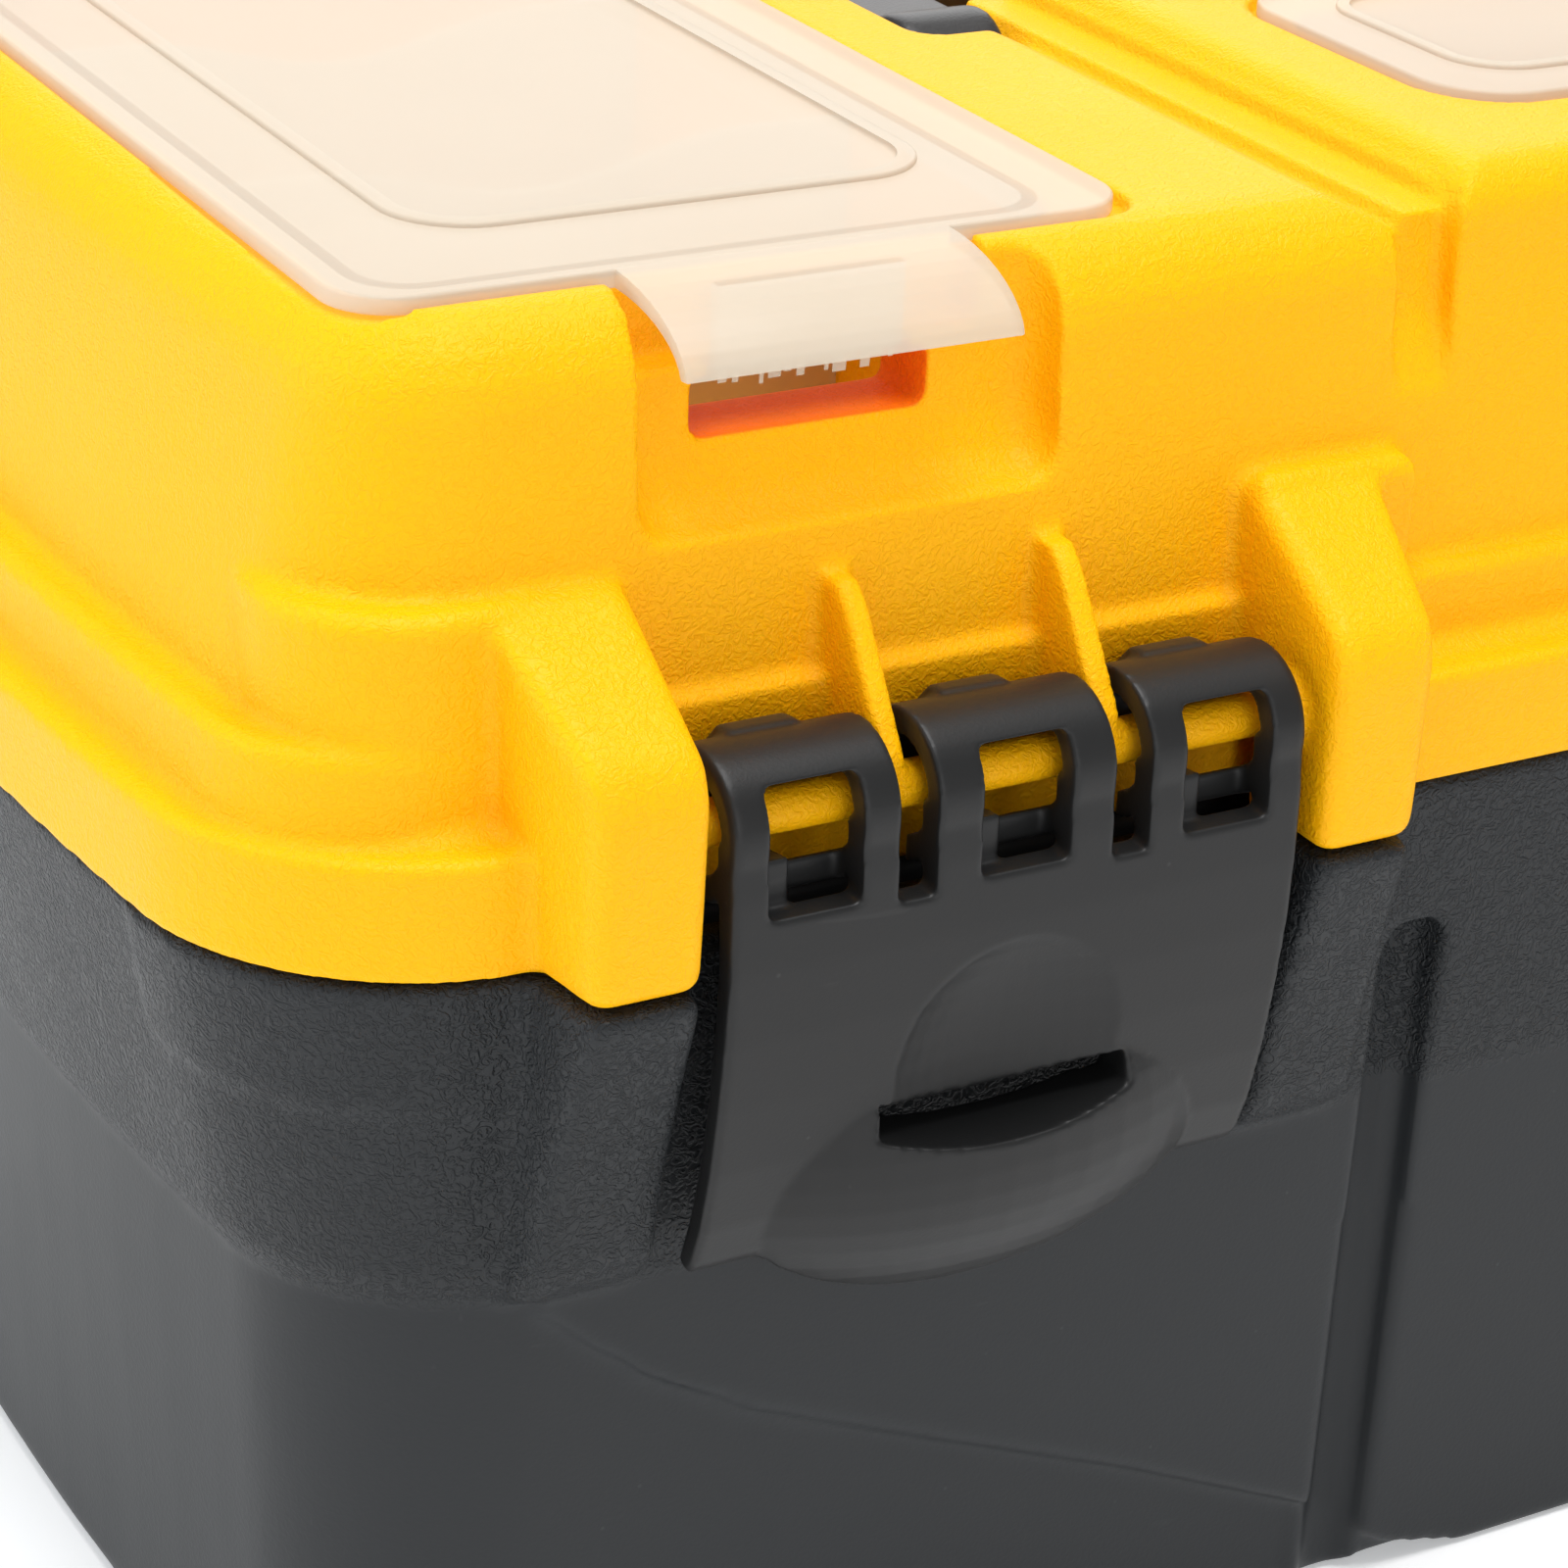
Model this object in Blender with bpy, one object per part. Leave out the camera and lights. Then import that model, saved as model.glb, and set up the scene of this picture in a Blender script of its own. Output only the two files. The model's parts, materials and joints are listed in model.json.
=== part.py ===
"""A moulded toolbox with a lift-out tray: charcoal base, yellow lid with organiser bins, black latches.

X runs along the front, Y backwards, Z up. The origin is on the table, under the middle of the box.
Sizes below are in millimetres.
"""

import math

import bmesh
import bpy
from mathutils import Matrix, Vector

MM = 0.001

# Overall outline
RIM_HALF_LENGTH = 206.0
RIM_HALF_DEPTH = 90.4
RIM_CORNER = 24.0
SIDE_BOW = 0.037  # share of the length that the short sides draw in by, from mid depth to the corner
PARTING = 100.0
GAP = 0.3
WALL = 2.5
OUTSIDE = 120.0  # how far a cutter reaches past the front or the back
ABOVE = 180.0  # how far a cutter reaches past the top

# Base
BAND_BOTTOM = 62.0
BAND_TOP_HALF = (205.0, 89.4)
BAND_LOW_HALF = (200.0, 88.2)
FOOT_HALF = (195.0, 85.4)
LEDGE_TOP = 51.7

# Lid
RIM_TOP = 109.0
BIN_PLATE = 112.0
END_TOP = 154.5
CENTRE_TOP = 157.0
LID_LOW_HALF = (201.0, 83.0)
LID_TOP_HALF = (191.0, 79.5)
CENTRE_HALF_LENGTH = 73.5
GROOVE = (73.5, 80.0)
GROOVE_DEPTH = 4.5
SHELF_TOP = 131.0
BODY_CORNER = 13.0

# Hollow for the thumb under an end lid's tab, and the hole for its catch
THUMB_X = (118.0, 160.0)
THUMB_BACK = -75.0
CATCH_X = (128.5, 152.5)
CATCH_Z = (139.5, 145.0)

# Latches, each hung on a bar that the lid carries between two posts
LATCH_X = 130.0
LATCH_HALF = 30.0
POST_INNER = 32.5
POST_OUTER = 43.5
BAR_Y, BAR_Z = -92.0, 111.0
BAR_RADIUS = 2.2
KNUCKLE_RADIUS = 7.0
LATCH_WALL = 2.3
KNUCKLES = ((-30.0, -13.2), (-9.3, 9.3), (13.2, 30.0))
PULL_HALF = 13.3
PULL_Z = (76.8, 80.2)
DOME_CENTRE_Z = 78.0
DOME_RADII = (21.0, 7.6, 18.5)

# Organiser lids
PLATE = 1.8
END_LID_X = (104.5, 184.0)
END_LID_Y = (-71.3, 71.3)
TAB_X = (124.8, 158.8)
FRONT_LID_Y = (-62.0, -19.0)
REAR_LID_Y = (46.5, 70.0)
CENTRE_LID_HALF = 60.0
SEAT_DEPTH = 1.5
SEAT_GAP = 0.6

# Carry handle, folded back into its well
HANDLE_Y, HANDLE_Z = -4.0, 147.0
HANDLE_ARM_X = (80.6, 92.6)
HANDLE_REACH = 33.0
POCKET_Y = (-13.5, 42.0)
POCKET_X = (79.6, 94.0)
GRIP_WELL_Y = (4.0, 42.0)
WELL_FLOOR = 136.0
HANDLE_PIN_RADIUS = 2.5
HANDLE_PIN_X = (76.5, 97.0)

# Rear hinge
HINGE_Y, HINGE_Z = 97.5, 104.0
HINGE_X = 120.0
BARREL_RADIUS = 5.5
PIN_RADIUS = 1.6
PIN_CLEARANCE = 0.35
LID_KNUCKLE_HALF = 8.0
BASE_KNUCKLE_OUTER = 16.5

# Tray
TRAY_HALF = (190.0, 80.0)
TRAY_BOTTOM, TRAY_TOP = 52.0, 96.0
TRAY_WALL = 2.0
SPINE_HALF = 11.0

COLOURS = {
    "charcoal": ((0.055, 0.06, 0.062), 0.55, 0.0),
    "yellow": ((0.95, 0.52, 0.005), 0.45, 0.0),
    "latch_black": ((0.022, 0.023, 0.024), 0.4, 0.0),
    "milky": ((0.85, 0.82, 0.78), 0.3, 0.0),
    "handle_black": ((0.02, 0.018, 0.018), 0.45, 0.0),
    "steel": ((0.6, 0.6, 0.62), 0.3, 1.0),
    "tray_grey": ((0.08, 0.085, 0.09), 0.5, 0.0),
}


def clear_scene():
    for old in list(bpy.data.objects):
        bpy.data.objects.remove(old, do_unlink=True)


def new_collection(name, hidden=False):
    made = bpy.data.collections.new(name)
    bpy.context.scene.collection.children.link(made)
    made.hide_render = hidden
    return made


def material(name):
    found = bpy.data.materials.get(name)
    if found:
        return found
    colour, roughness, metallic = COLOURS[name]
    made = bpy.data.materials.new(name)
    made.use_nodes = True
    shader = made.node_tree.nodes["Principled BSDF"]
    shader.inputs["Base Color"].default_value = (*colour, 1.0)
    shader.inputs["Roughness"].default_value = roughness
    shader.inputs["Metallic"].default_value = metallic
    return made


def object_from(bm, name, colour=None):
    """Turns a bmesh in millimetres into an object: a part if it has a colour, or else a Boolean's helper."""
    bmesh.ops.scale(bm, vec=(MM, MM, MM), verts=bm.verts)
    bmesh.ops.recalc_face_normals(bm, faces=bm.faces)
    mesh = bpy.data.meshes.new(name)
    bm.to_mesh(mesh)
    bm.free()
    obj = bpy.data.objects.new(name, mesh)
    if colour:
        mesh.materials.append(material(colour))
        PARTS.objects.link(obj)
    else:
        obj.hide_render = True
        obj.display_type = "WIRE"
        CUTTERS.objects.link(obj)
    return obj


def combine(target, operation, *others):
    """Adds the others to the target, or takes them away from it."""
    for other in others:
        modifier = target.modifiers.new(other.name, "BOOLEAN")
        modifier.operation = operation
        modifier.solver = "EXACT"
        modifier.object = other
    return target


def add(target, *others):
    return combine(target, "UNION", *others)


def cut(target, *others):
    return combine(target, "DIFFERENCE", *others)


def bevel_edges(bm, chosen, width, segments):
    bmesh.ops.bevel(
        bm,
        geom=[edge for edge in bm.edges if chosen(edge)],
        offset=width,
        segments=segments,
        profile=0.5,
        affect="EDGES",
        material=-1,
    )


def upright(edge):
    a, b = (vert.co for vert in edge.verts)
    return abs(a.x - b.x) < 1e-6 and abs(a.y - b.y) < 1e-6


def bow(bm):
    """Draws the short sides in towards the corners, along a shallow arc."""
    for y in (-60, -30, 0, 30, 60):
        cutting = bm.verts[:] + bm.edges[:] + bm.faces[:]
        bmesh.ops.bisect_plane(bm, geom=cutting, plane_co=(0, y, 0), plane_no=(0, 1, 0))
    for vert in bm.verts:
        vert.co.x *= 1 - SIDE_BOW * (vert.co.y / RIM_HALF_DEPTH) ** 2


def block_mesh(x, y, z, corner=0.0, segments=3, top_round=0.0, bottom_round=0.0):
    bm = bmesh.new()
    bmesh.ops.create_cube(bm, size=1.0)
    low = Vector((x[0], y[0], z[0]))
    size = Vector((x[1] - x[0], y[1] - y[0], z[1] - z[0]))
    bmesh.ops.translate(bm, vec=(0.5, 0.5, 0.5), verts=bm.verts)
    bmesh.ops.scale(bm, vec=size, verts=bm.verts)
    bmesh.ops.translate(bm, vec=low, verts=bm.verts)
    if corner:
        bevel_edges(bm, upright, corner, segments)
    for level, width in ((z[1], top_round), (z[0], bottom_round)):
        if width:
            bevel_edges(bm, lambda e: all(abs(v.co.z - level) < 1e-4 for v in e.verts), width, 2)
    return bm


def block(name, x, y, z, colour=None, **rounding):
    return object_from(block_mesh(x, y, z, **rounding), name, colour)


def tub(name, low_half, top_half, z, corner, colour=None, **rounding):
    """A bowed block on the middle of the box whose half sizes change evenly from its bottom to its top."""
    bm = block_mesh((-top_half[0], top_half[0]), (-top_half[1], top_half[1]), z, corner, 4, **rounding)
    for vert in bm.verts:
        share = (z[1] - vert.co.z) / (z[1] - z[0])
        vert.co.x *= 1 + share * (low_half[0] / top_half[0] - 1)
        vert.co.y *= 1 + share * (low_half[1] / top_half[1] - 1)
    bow(bm)
    return object_from(bm, name, colour)


def prism(name, profile, x, colour=None):
    """A profile of (Y, Z) points, swept along X."""
    bm = bmesh.new()
    face = bm.faces.new([bm.verts.new((x[0], y, z)) for y, z in profile])
    swept = bmesh.ops.extrude_face_region(bm, geom=[face])["geom"]
    moved = [item for item in swept if isinstance(item, bmesh.types.BMVert)]
    bmesh.ops.translate(bm, vec=(x[1] - x[0], 0, 0), verts=moved)
    return object_from(bm, name, colour)


def rod(name, radius, x, y, z, colour=None, sides=20):
    """A cylinder along X."""
    bm = bmesh.new()
    bmesh.ops.create_cone(
        bm, cap_ends=True, segments=sides, radius1=radius, radius2=radius, depth=x[1] - x[0]
    )
    bmesh.ops.rotate(bm, cent=(0, 0, 0), matrix=Matrix.Rotation(math.pi / 2, 3, "Y"), verts=bm.verts)
    bmesh.ops.translate(bm, vec=((x[0] + x[1]) / 2, y, z), verts=bm.verts)
    return object_from(bm, name, colour)


def side_range(side, low, high):
    """The range low to high on the right of the box, or its mirror image on the left."""
    return (low, high) if side > 0 else (-high, -low)


def side_name(side):
    return "right" if side > 0 else "left"


def guard_profile():
    """The base's rib beside a latch: widest at the parting plane, tapering back to the wall."""
    return (
        (-84, PARTING - GAP),
        (-100.6, PARTING - GAP),
        (-94.2, 77),
        (-92.6, 67),
        (-89.5, 63.5),
        (-84, 63.5),
    )


def hinge_arm_profile():
    """The bracket that carries a knuckle of the rear hinge behind the base's back wall."""
    wall, back, inner = 87, 102.6, 92.4
    return (
        (wall, 90),
        (95, 90),
        (back, 98),
        (back, HINGE_Z),
        (inner, HINGE_Z),
        (inner, PARTING - GAP),
        (wall, PARTING - GAP),
    )


def post_profile():
    """The lid's post beside a latch, with its top sloping down to the front."""
    return (
        (-76, PARTING),
        (-100, PARTING),
        (-100.6, 117),
        (-99, 120.5),
        (-82, SHELF_TOP),
        (-76, SHELF_TOP),
    )


def thumb_profile():
    """The hollow under a lid's tab: an upright back wall, then a ramp out to the front."""
    lip = SHELF_TOP + 0.6
    return (
        (THUMB_BACK, ABOVE),
        (THUMB_BACK, CATCH_Z[0]),
        (-86, lip),
        (-OUTSIDE, lip),
        (-OUTSIDE, ABOVE),
    )


def hang(name, point, *pieces, parent=None):
    """Puts an empty on a joint's axis and hangs the pieces of its moving body on it."""
    pivot = bpy.data.objects.new(name, None)
    PARTS.objects.link(pivot)
    pivot.location = Vector(point) * MM
    pivot.empty_display_size = 0.02
    bpy.context.view_layer.update()
    for piece in pieces:
        child = bpy.data.objects[piece]
        child.parent = pivot
        child.matrix_parent_inverse = pivot.matrix_world.inverted()
    if parent:
        pivot.parent = parent
        pivot.matrix_parent_inverse = parent.matrix_world.inverted()
    return pivot


def make_base():
    base = tub("base_shell", FOOT_HALF, (198, 86.2), (0, BAND_BOTTOM + 2), 20, "charcoal", bottom_round=3)
    add(base, tub("band", BAND_LOW_HALF, BAND_TOP_HALF, (BAND_BOTTOM, PARTING - GAP), RIM_CORNER - 1))
    cavity_low = tub("cavity_low", (192, 82.6), (195, 83.4), (WALL, BAND_BOTTOM + 3), 17.5)
    cavity_top = tub("cavity_top", (197, 85.4), (202, 86.6), (BAND_BOTTOM + 3 - 1, PARTING + 5), 21)
    for side in (-1, 1):
        for inner, outer in ((-POST_OUTER, -POST_INNER), (POST_INNER, POST_OUTER)):
            x = (side * LATCH_X + inner, side * LATCH_X + outer)
            add(base, prism(f"guard_{side_name(side)}_{outer:.0f}", guard_profile(), x))
        catch_x = (side * LATCH_X - 14, side * LATCH_X + 14)
        catch = ((-87, 84), (-90.5, 84), (-92.6, 87), (-92.6, 88.5), (-87, 92))
        add(base, prism(f"catch_{side_name(side)}", catch, catch_x))
        for low, high in (
            (-BASE_KNUCKLE_OUTER, -LID_KNUCKLE_HALF - GAP),
            (LID_KNUCKLE_HALF + GAP, BASE_KNUCKLE_OUTER),
        ):
            x = (side * HINGE_X + low, side * HINGE_X + high)
            add(base, prism(f"base_arm_{side_name(side)}_{high:.0f}", hinge_arm_profile(), x))
            add(base, rod(f"base_barrel_{side_name(side)}_{high:.0f}", BARREL_RADIUS, x, HINGE_Y, HINGE_Z))
    cut(base, cavity_low, cavity_top)
    for side in (-1, 1):
        ledge = side_range(side, 181, 194.3)
        add(base, block(f"ledge_{side_name(side)}", ledge, (-40, 40), (LEDGE_TOP - 5, LEDGE_TOP)))
        bore = (side * HINGE_X - 20, side * HINGE_X + 20)
        radius = PIN_RADIUS + PIN_CLEARANCE
        cut(base, rod(f"base_bore_{side_name(side)}", radius, bore, HINGE_Y, HINGE_Z, sides=16))
        groove = side_range(side, 72.8, 79.2)
        cut(base, block(f"base_groove_{side_name(side)}", groove, (-96, -86.6), (-5, 82)))


def make_lid():
    body_z = (PARTING + 4, END_TOP)
    lid = tub("lid_shell", LID_LOW_HALF, LID_TOP_HALF, body_z, BODY_CORNER, "yellow", top_round=6)
    rim_half = (RIM_HALF_LENGTH, RIM_HALF_DEPTH)
    add(lid, tub("rim", rim_half, rim_half, (PARTING, RIM_TOP), RIM_CORNER))
    for side in (-1, 1):
        name = side_name(side)
        groove = side_range(side, *GROOVE)
        groove_z = (CENTRE_TOP - GROOVE_DEPTH, ABOVE)
        cut(lid, block(f"groove_top_{name}", groove, (-OUTSIDE, OUTSIDE), groove_z))
        cut(lid, block(f"groove_front_{name}", groove, (-OUTSIDE, -77), (SHELF_TOP, ABOVE)))
        cut(lid, block(f"groove_rear_{name}", groove, (77, OUTSIDE), (SHELF_TOP, ABOVE)))
        for inner, outer in ((-POST_OUTER, -POST_INNER), (POST_INNER, POST_OUTER)):
            x = (side * LATCH_X + inner, side * LATCH_X + outer)
            add(lid, prism(f"post_{name}_{outer:.0f}", post_profile(), x))
        shelf = side_range(side, 172, 192)
        add(lid, block(f"shelf_{name}", shelf, (-84.5, -76), (RIM_TOP - 3, SHELF_TOP), top_round=2))
        recess = (side * LATCH_X - POST_INNER, side * LATCH_X + POST_INNER)
        cut(lid, block(f"recess_{name}", recess, (-OUTSIDE, -84), (PARTING - 5, 122)))
    centre_x = (-CENTRE_HALF_LENGTH, CENTRE_HALF_LENGTH)
    add(lid, block("centre_block", centre_x, (-80, 80), (RIM_TOP + 1, CENTRE_TOP), top_round=5))
    hollow_lid(lid)
    add_lid_fittings(lid)


def hollow_lid(lid):
    """Opens the underside, the bins, the well of the handle, and the thumb hollows under the tabs."""
    cut(lid, tub("under_rim", (203, 87.4), (203, 87.4), (PARTING - 5, RIM_TOP - WALL), 21))
    cut(lid, tub("underside", (197.5, 79.5), (197.5, 79.5), (PARTING + 2, BIN_PLATE), 19))
    for side in (-1, 1):
        name = side_name(side)
        backing = (side * LATCH_X - POST_INNER - 4, side * LATCH_X + POST_INNER + 4)
        add(lid, block(f"skirt_{name}", backing, (-84, -81), (PARTING, RIM_TOP)))
        end = side_range(side, *END_LID_X)
        seat_x = (end[0] - SEAT_GAP, end[1] + SEAT_GAP)
        seat_y = (END_LID_Y[0] - SEAT_GAP, END_LID_Y[1] + SEAT_GAP)
        cut(lid, block(f"end_seat_{name}", seat_x, seat_y, (END_TOP - SEAT_DEPTH, ABOVE), corner=7))
        bin_x = (end[0] + 4, end[1] - 4)
        cut(lid, block(f"end_bin_{name}", bin_x, (-66, 66), (BIN_PLATE + WALL, ABOVE), corner=6))
        cut(lid, prism(f"thumb_{name}", thumb_profile(), side_range(side, *THUMB_X)))
        tab_x = side_range(side, TAB_X[0] - 1, TAB_X[1] + 1)
        cut(lid, block(f"tab_sill_{name}", tab_x, (-OUTSIDE, END_LID_Y[0]), (147, ABOVE)))
        cut(lid, block(f"catch_hole_{name}", side_range(side, *CATCH_X), (-90, -60), CATCH_Z))
        pocket = side_range(side, *POCKET_X)
        cut(lid, block(f"arm_pocket_{name}", pocket, POCKET_Y, (WELL_FLOOR, ABOVE), corner=3))
        under = side_range(side, 1.5, 97)
        cut(lid, block(f"under_well_{name}", under, (-13, 40), (PARTING, WELL_FLOOR - WALL)))
    well_x = (-POCKET_X[0] - 4, POCKET_X[0] + 4)
    cut(lid, block("handle_well", well_x, GRIP_WELL_Y, (WELL_FLOOR, ABOVE)))
    hollow_x = (WALL - CENTRE_HALF_LENGTH, CENTRE_HALF_LENGTH - WALL)
    hollow_y = (-12, GRIP_WELL_Y[0] - WALL)
    hollow_z = (WELL_FLOOR - 4, CENTRE_TOP - 3.5)
    cut(lid, block("under_front", hollow_x, hollow_y, hollow_z))
    half = CENTRE_LID_HALF
    for name, span in (("front", FRONT_LID_Y), ("rear", REAR_LID_Y)):
        seat_y = (span[0] - SEAT_GAP, span[1] + SEAT_GAP)
        seat_x = (-half - SEAT_GAP, half + SEAT_GAP)
        cut(lid, block(f"centre_seat_{name}", seat_x, seat_y, (CENTRE_TOP - SEAT_DEPTH, ABOVE), corner=9))
        bin_y = (span[0] + 4, span[1] - 3)
        bin_z = (BIN_PLATE + WALL, ABOVE)
        cut(lid, block(f"centre_bin_{name}", (-half + 4, half - 4), bin_y, bin_z, corner=7))


def add_lid_fittings(lid):
    """The latch bars with their gussets, the rear hinge knuckles, and the bores of both kinds of pin."""
    for side in (-1, 1):
        name = side_name(side)
        span = (side * LATCH_X - POST_INNER - 2, side * LATCH_X + POST_INNER + 2)
        add(lid, rod(f"latch_bar_{name}", BAR_RADIUS, span, BAR_Y, BAR_Z, sides=16))
        for offset in (-11.25, 11.25):
            x = side * LATCH_X + offset
            gusset = ((-81, 126), (-84.5, 126), (-93.2, 113.5), (-93.6, 110), (-91.5, 109.4), (-81, 109.4))
            add(lid, prism(f"gusset_{name}_{offset:.0f}", gusset, (x - 1.15, x + 1.15)))
        x = (side * HINGE_X - LID_KNUCKLE_HALF, side * HINGE_X + LID_KNUCKLE_HALF)
        arm = ((86, RIM_TOP), (97, RIM_TOP), (99, 105), (97, 100.4), (86, 100.4))
        add(lid, prism(f"lid_arm_{name}", arm, x))
        add(lid, rod(f"lid_barrel_{name}", BARREL_RADIUS, x, HINGE_Y, HINGE_Z))
        bore = (x[0] - 5, x[1] + 5)
        cut(lid, rod(f"lid_bore_{name}", PIN_RADIUS + PIN_CLEARANCE, bore, HINGE_Y, HINGE_Z, sides=16))
        pin_bore = side_range(side, HANDLE_PIN_X[0] - 0.5, HANDLE_PIN_X[1] + 0.5)
        radius = HANDLE_PIN_RADIUS + PIN_CLEARANCE
        cut(lid, rod(f"handle_bore_{name}", radius, pin_bore, HANDLE_Y, HANDLE_Z, sides=16))


def latch_profile():
    """The flap's section: down from the knuckle, bulging a little, then curving in to its lower edge."""
    outer = ((-98.9, 110), (-99.6, 98), (-98.9, 86), (-96.9, 73), (-94.2, 66.2))
    inner = ((-91.9, 67.2), (-94.3, 74), (-96.2, 86.4), (-96.8, 98), (-96.3, 110))
    return outer + inner


def make_latch(side):
    name = side_name(side)
    centre = side * LATCH_X
    span = (centre - LATCH_HALF, centre + LATCH_HALF)
    latch = rod(f"latch_{name}", KNUCKLE_RADIUS, span, BAR_Y, BAR_Z, "latch_black", sides=32)
    past = (span[0] - 2, span[1] + 2)
    cut(latch, rod(f"knuckle_hollow_{name}", KNUCKLE_RADIUS - LATCH_WALL, past, BAR_Y, BAR_Z))
    cut(latch, block(f"knuckle_mouth_{name}", past, (BAR_Y - 1, -80), (95, BAR_Z - 1)))
    add(latch, prism(f"flap_{name}", latch_profile(), span))
    dome = bmesh.new()
    bmesh.ops.create_uvsphere(dome, u_segments=20, v_segments=12, radius=1.0)
    bmesh.ops.scale(dome, vec=DOME_RADII, verts=dome.verts)
    bmesh.ops.translate(dome, vec=(centre, -95.4, DOME_CENTRE_Z), verts=dome.verts)
    dome_object = object_from(dome, f"dome_{name}")
    cut(dome_object, block(f"dome_back_{name}", (centre - 40, centre + 40), (-94.6, -60), (40, 120)))
    add(latch, dome_object)
    for (_, left), (right, _) in zip(KNUCKLES, KNUCKLES[1:]):
        slot = (centre + left, centre + right)
        cut(latch, block(f"slot_{name}_{left:.0f}", slot, (-120, -75), (103.2, 140)))
    for low, high in KNUCKLES:
        middle = centre + (low + high) / 2
        window = (middle - 4.4, middle + 4.4)
        cut(latch, block(f"window_{name}_{low:.0f}", window, (-110, -95), (104, 115.5)))
    pull_x = (centre - PULL_HALF, centre + PULL_HALF)
    cut(latch, block(f"pull_{name}", pull_x, (-OUTSIDE, -80), PULL_Z))


def tab_profile(lid_front, top):
    """The thumb tab of an organiser lid: its plate curls down over the front edge."""
    reach, drop = 11.5, 6.5
    outer, inner = [], []
    for step in range(5):
        angle = math.radians(22.5 * step)
        outer.append((lid_front - reach * math.sin(angle), top - drop * (1 - math.cos(angle))))
        under = top - PLATE - (drop - PLATE) * (1 - math.cos(angle))
        inner.append((lid_front - (reach - PLATE) * math.sin(angle), under))
    inner[0] = (lid_front, top - PLATE)
    return [(lid_front + 4, top)] + outer + inner[::-1] + [(lid_front + 4, top - PLATE)]


def organiser_lid(name, x, y, surface, corner, tab_x):
    """A plate that rests in its seat, with a raised panel and a thumb tab on its front edge."""
    top = surface - SEAT_DEPTH + GAP + PLATE
    lid = block(name, x, y, (top - PLATE, top), "milky", corner=corner)
    panel_x, panel_y = (x[0] + 6.5, x[1] - 6.5), (y[0] + 6.5, y[1] - 6.5)
    add(lid, block(f"{name}_panel", panel_x, panel_y, (top - 1, top + 0.5), corner=4))
    if tab_x:
        add(lid, prism(f"{name}_tab", tab_profile(y[0], top), tab_x))


def make_organiser_lids():
    for side in (-1, 1):
        name = f"end_organiser_lid_{side_name(side)}"
        organiser_lid(name, side_range(side, *END_LID_X), END_LID_Y, END_TOP, 6, side_range(side, *TAB_X))
    half = (-CENTRE_LID_HALF, CENTRE_LID_HALF)
    organiser_lid("centre_organiser_lid_front", half, FRONT_LID_Y, CENTRE_TOP, 9, None)
    organiser_lid("centre_organiser_lid_rear", half, REAR_LID_Y, CENTRE_TOP, 9, None)


def make_carry_handle():
    grip_y = HANDLE_Y + HANDLE_REACH
    span = (-HANDLE_ARM_X[1], HANDLE_ARM_X[1])
    grip = (grip_y - 8, grip_y + 8)
    handle = block("carry_handle", span, grip, (138.2, 153.6), "handle_black", top_round=4)
    for side in (-1, 1):
        name = side_name(side)
        arm = side_range(side, *HANDLE_ARM_X)
        add(handle, block(f"arm_{name}", arm, (HANDLE_Y, grip_y), (HANDLE_Z - 5.5, HANDLE_Z + 5.5)))
        add(handle, rod(f"arm_eye_{name}", 7.0, arm, HANDLE_Y, HANDLE_Z, sides=24))
        eye = (arm[0] - 3, arm[1] + 3)
        radius = HANDLE_PIN_RADIUS + PIN_CLEARANCE
        cut(handle, rod(f"arm_bore_{name}", radius, eye, HANDLE_Y, HANDLE_Z, sides=16))
        pin = side_range(side, *HANDLE_PIN_X)
        rod(f"handle_pin_{name}", HANDLE_PIN_RADIUS, pin, HANDLE_Y, HANDLE_Z, "steel", sides=16)


def make_hinge_pins():
    for side in (-1, 1):
        span = (side * HINGE_X - 16.5, side * HINGE_X + 16.5)
        rod(f"hinge_pin_{side_name(side)}", PIN_RADIUS, span, HINGE_Y, HINGE_Z, "steel", sides=16)


def make_tray():
    tray = tub("tray", (184, 77), TRAY_HALF, (TRAY_BOTTOM, TRAY_TOP), 16, "tray_grey")
    inner_x, inner_y = TRAY_HALF[0] - 15, TRAY_HALF[1] - 5
    floor = TRAY_BOTTOM + TRAY_WALL
    for side in (-1, 1):
        row = (side * inner_y, side * SPINE_HALF)
        row = (min(row), max(row))
        name = "rear" if side > 0 else "front"
        cut(tray, block(f"tray_row_{name}", (-inner_x, inner_x), row, (floor, TRAY_TOP + 5), corner=11))


def make_tray_fittings():
    """The grip that snaps on the tray's spine, and the removable dividers."""
    arch = block("tray_handle", (-58, 58), (-7, 7), (TRAY_TOP + GAP, 109), "handle_black", corner=3)
    cut(arch, block("tray_grip_opening", (-48, 48), (-20, 20), (TRAY_TOP - 1, 104)))
    for leg in (-1, 1):
        foot = (leg * 53 - 9, leg * 53 + 9)
        add(arch, block(f"tray_grip_foot_{leg}", foot, (-9, 9), (TRAY_TOP + GAP, TRAY_TOP + 3)))
    floor = TRAY_BOTTOM + TRAY_WALL + GAP
    front_y = (-TRAY_HALF[1] + 5 + GAP, -SPINE_HALF - GAP)
    rear_y = (SPINE_HALF + GAP, TRAY_HALF[1] - 5 - GAP)
    for index, (x, y) in enumerate(((-70, front_y), (70, front_y), (0, rear_y)), 1):
        block(f"tray_divider_{index}", (x - 1, x + 1), y, (floor, TRAY_TOP - 3), "latch_black")


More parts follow.
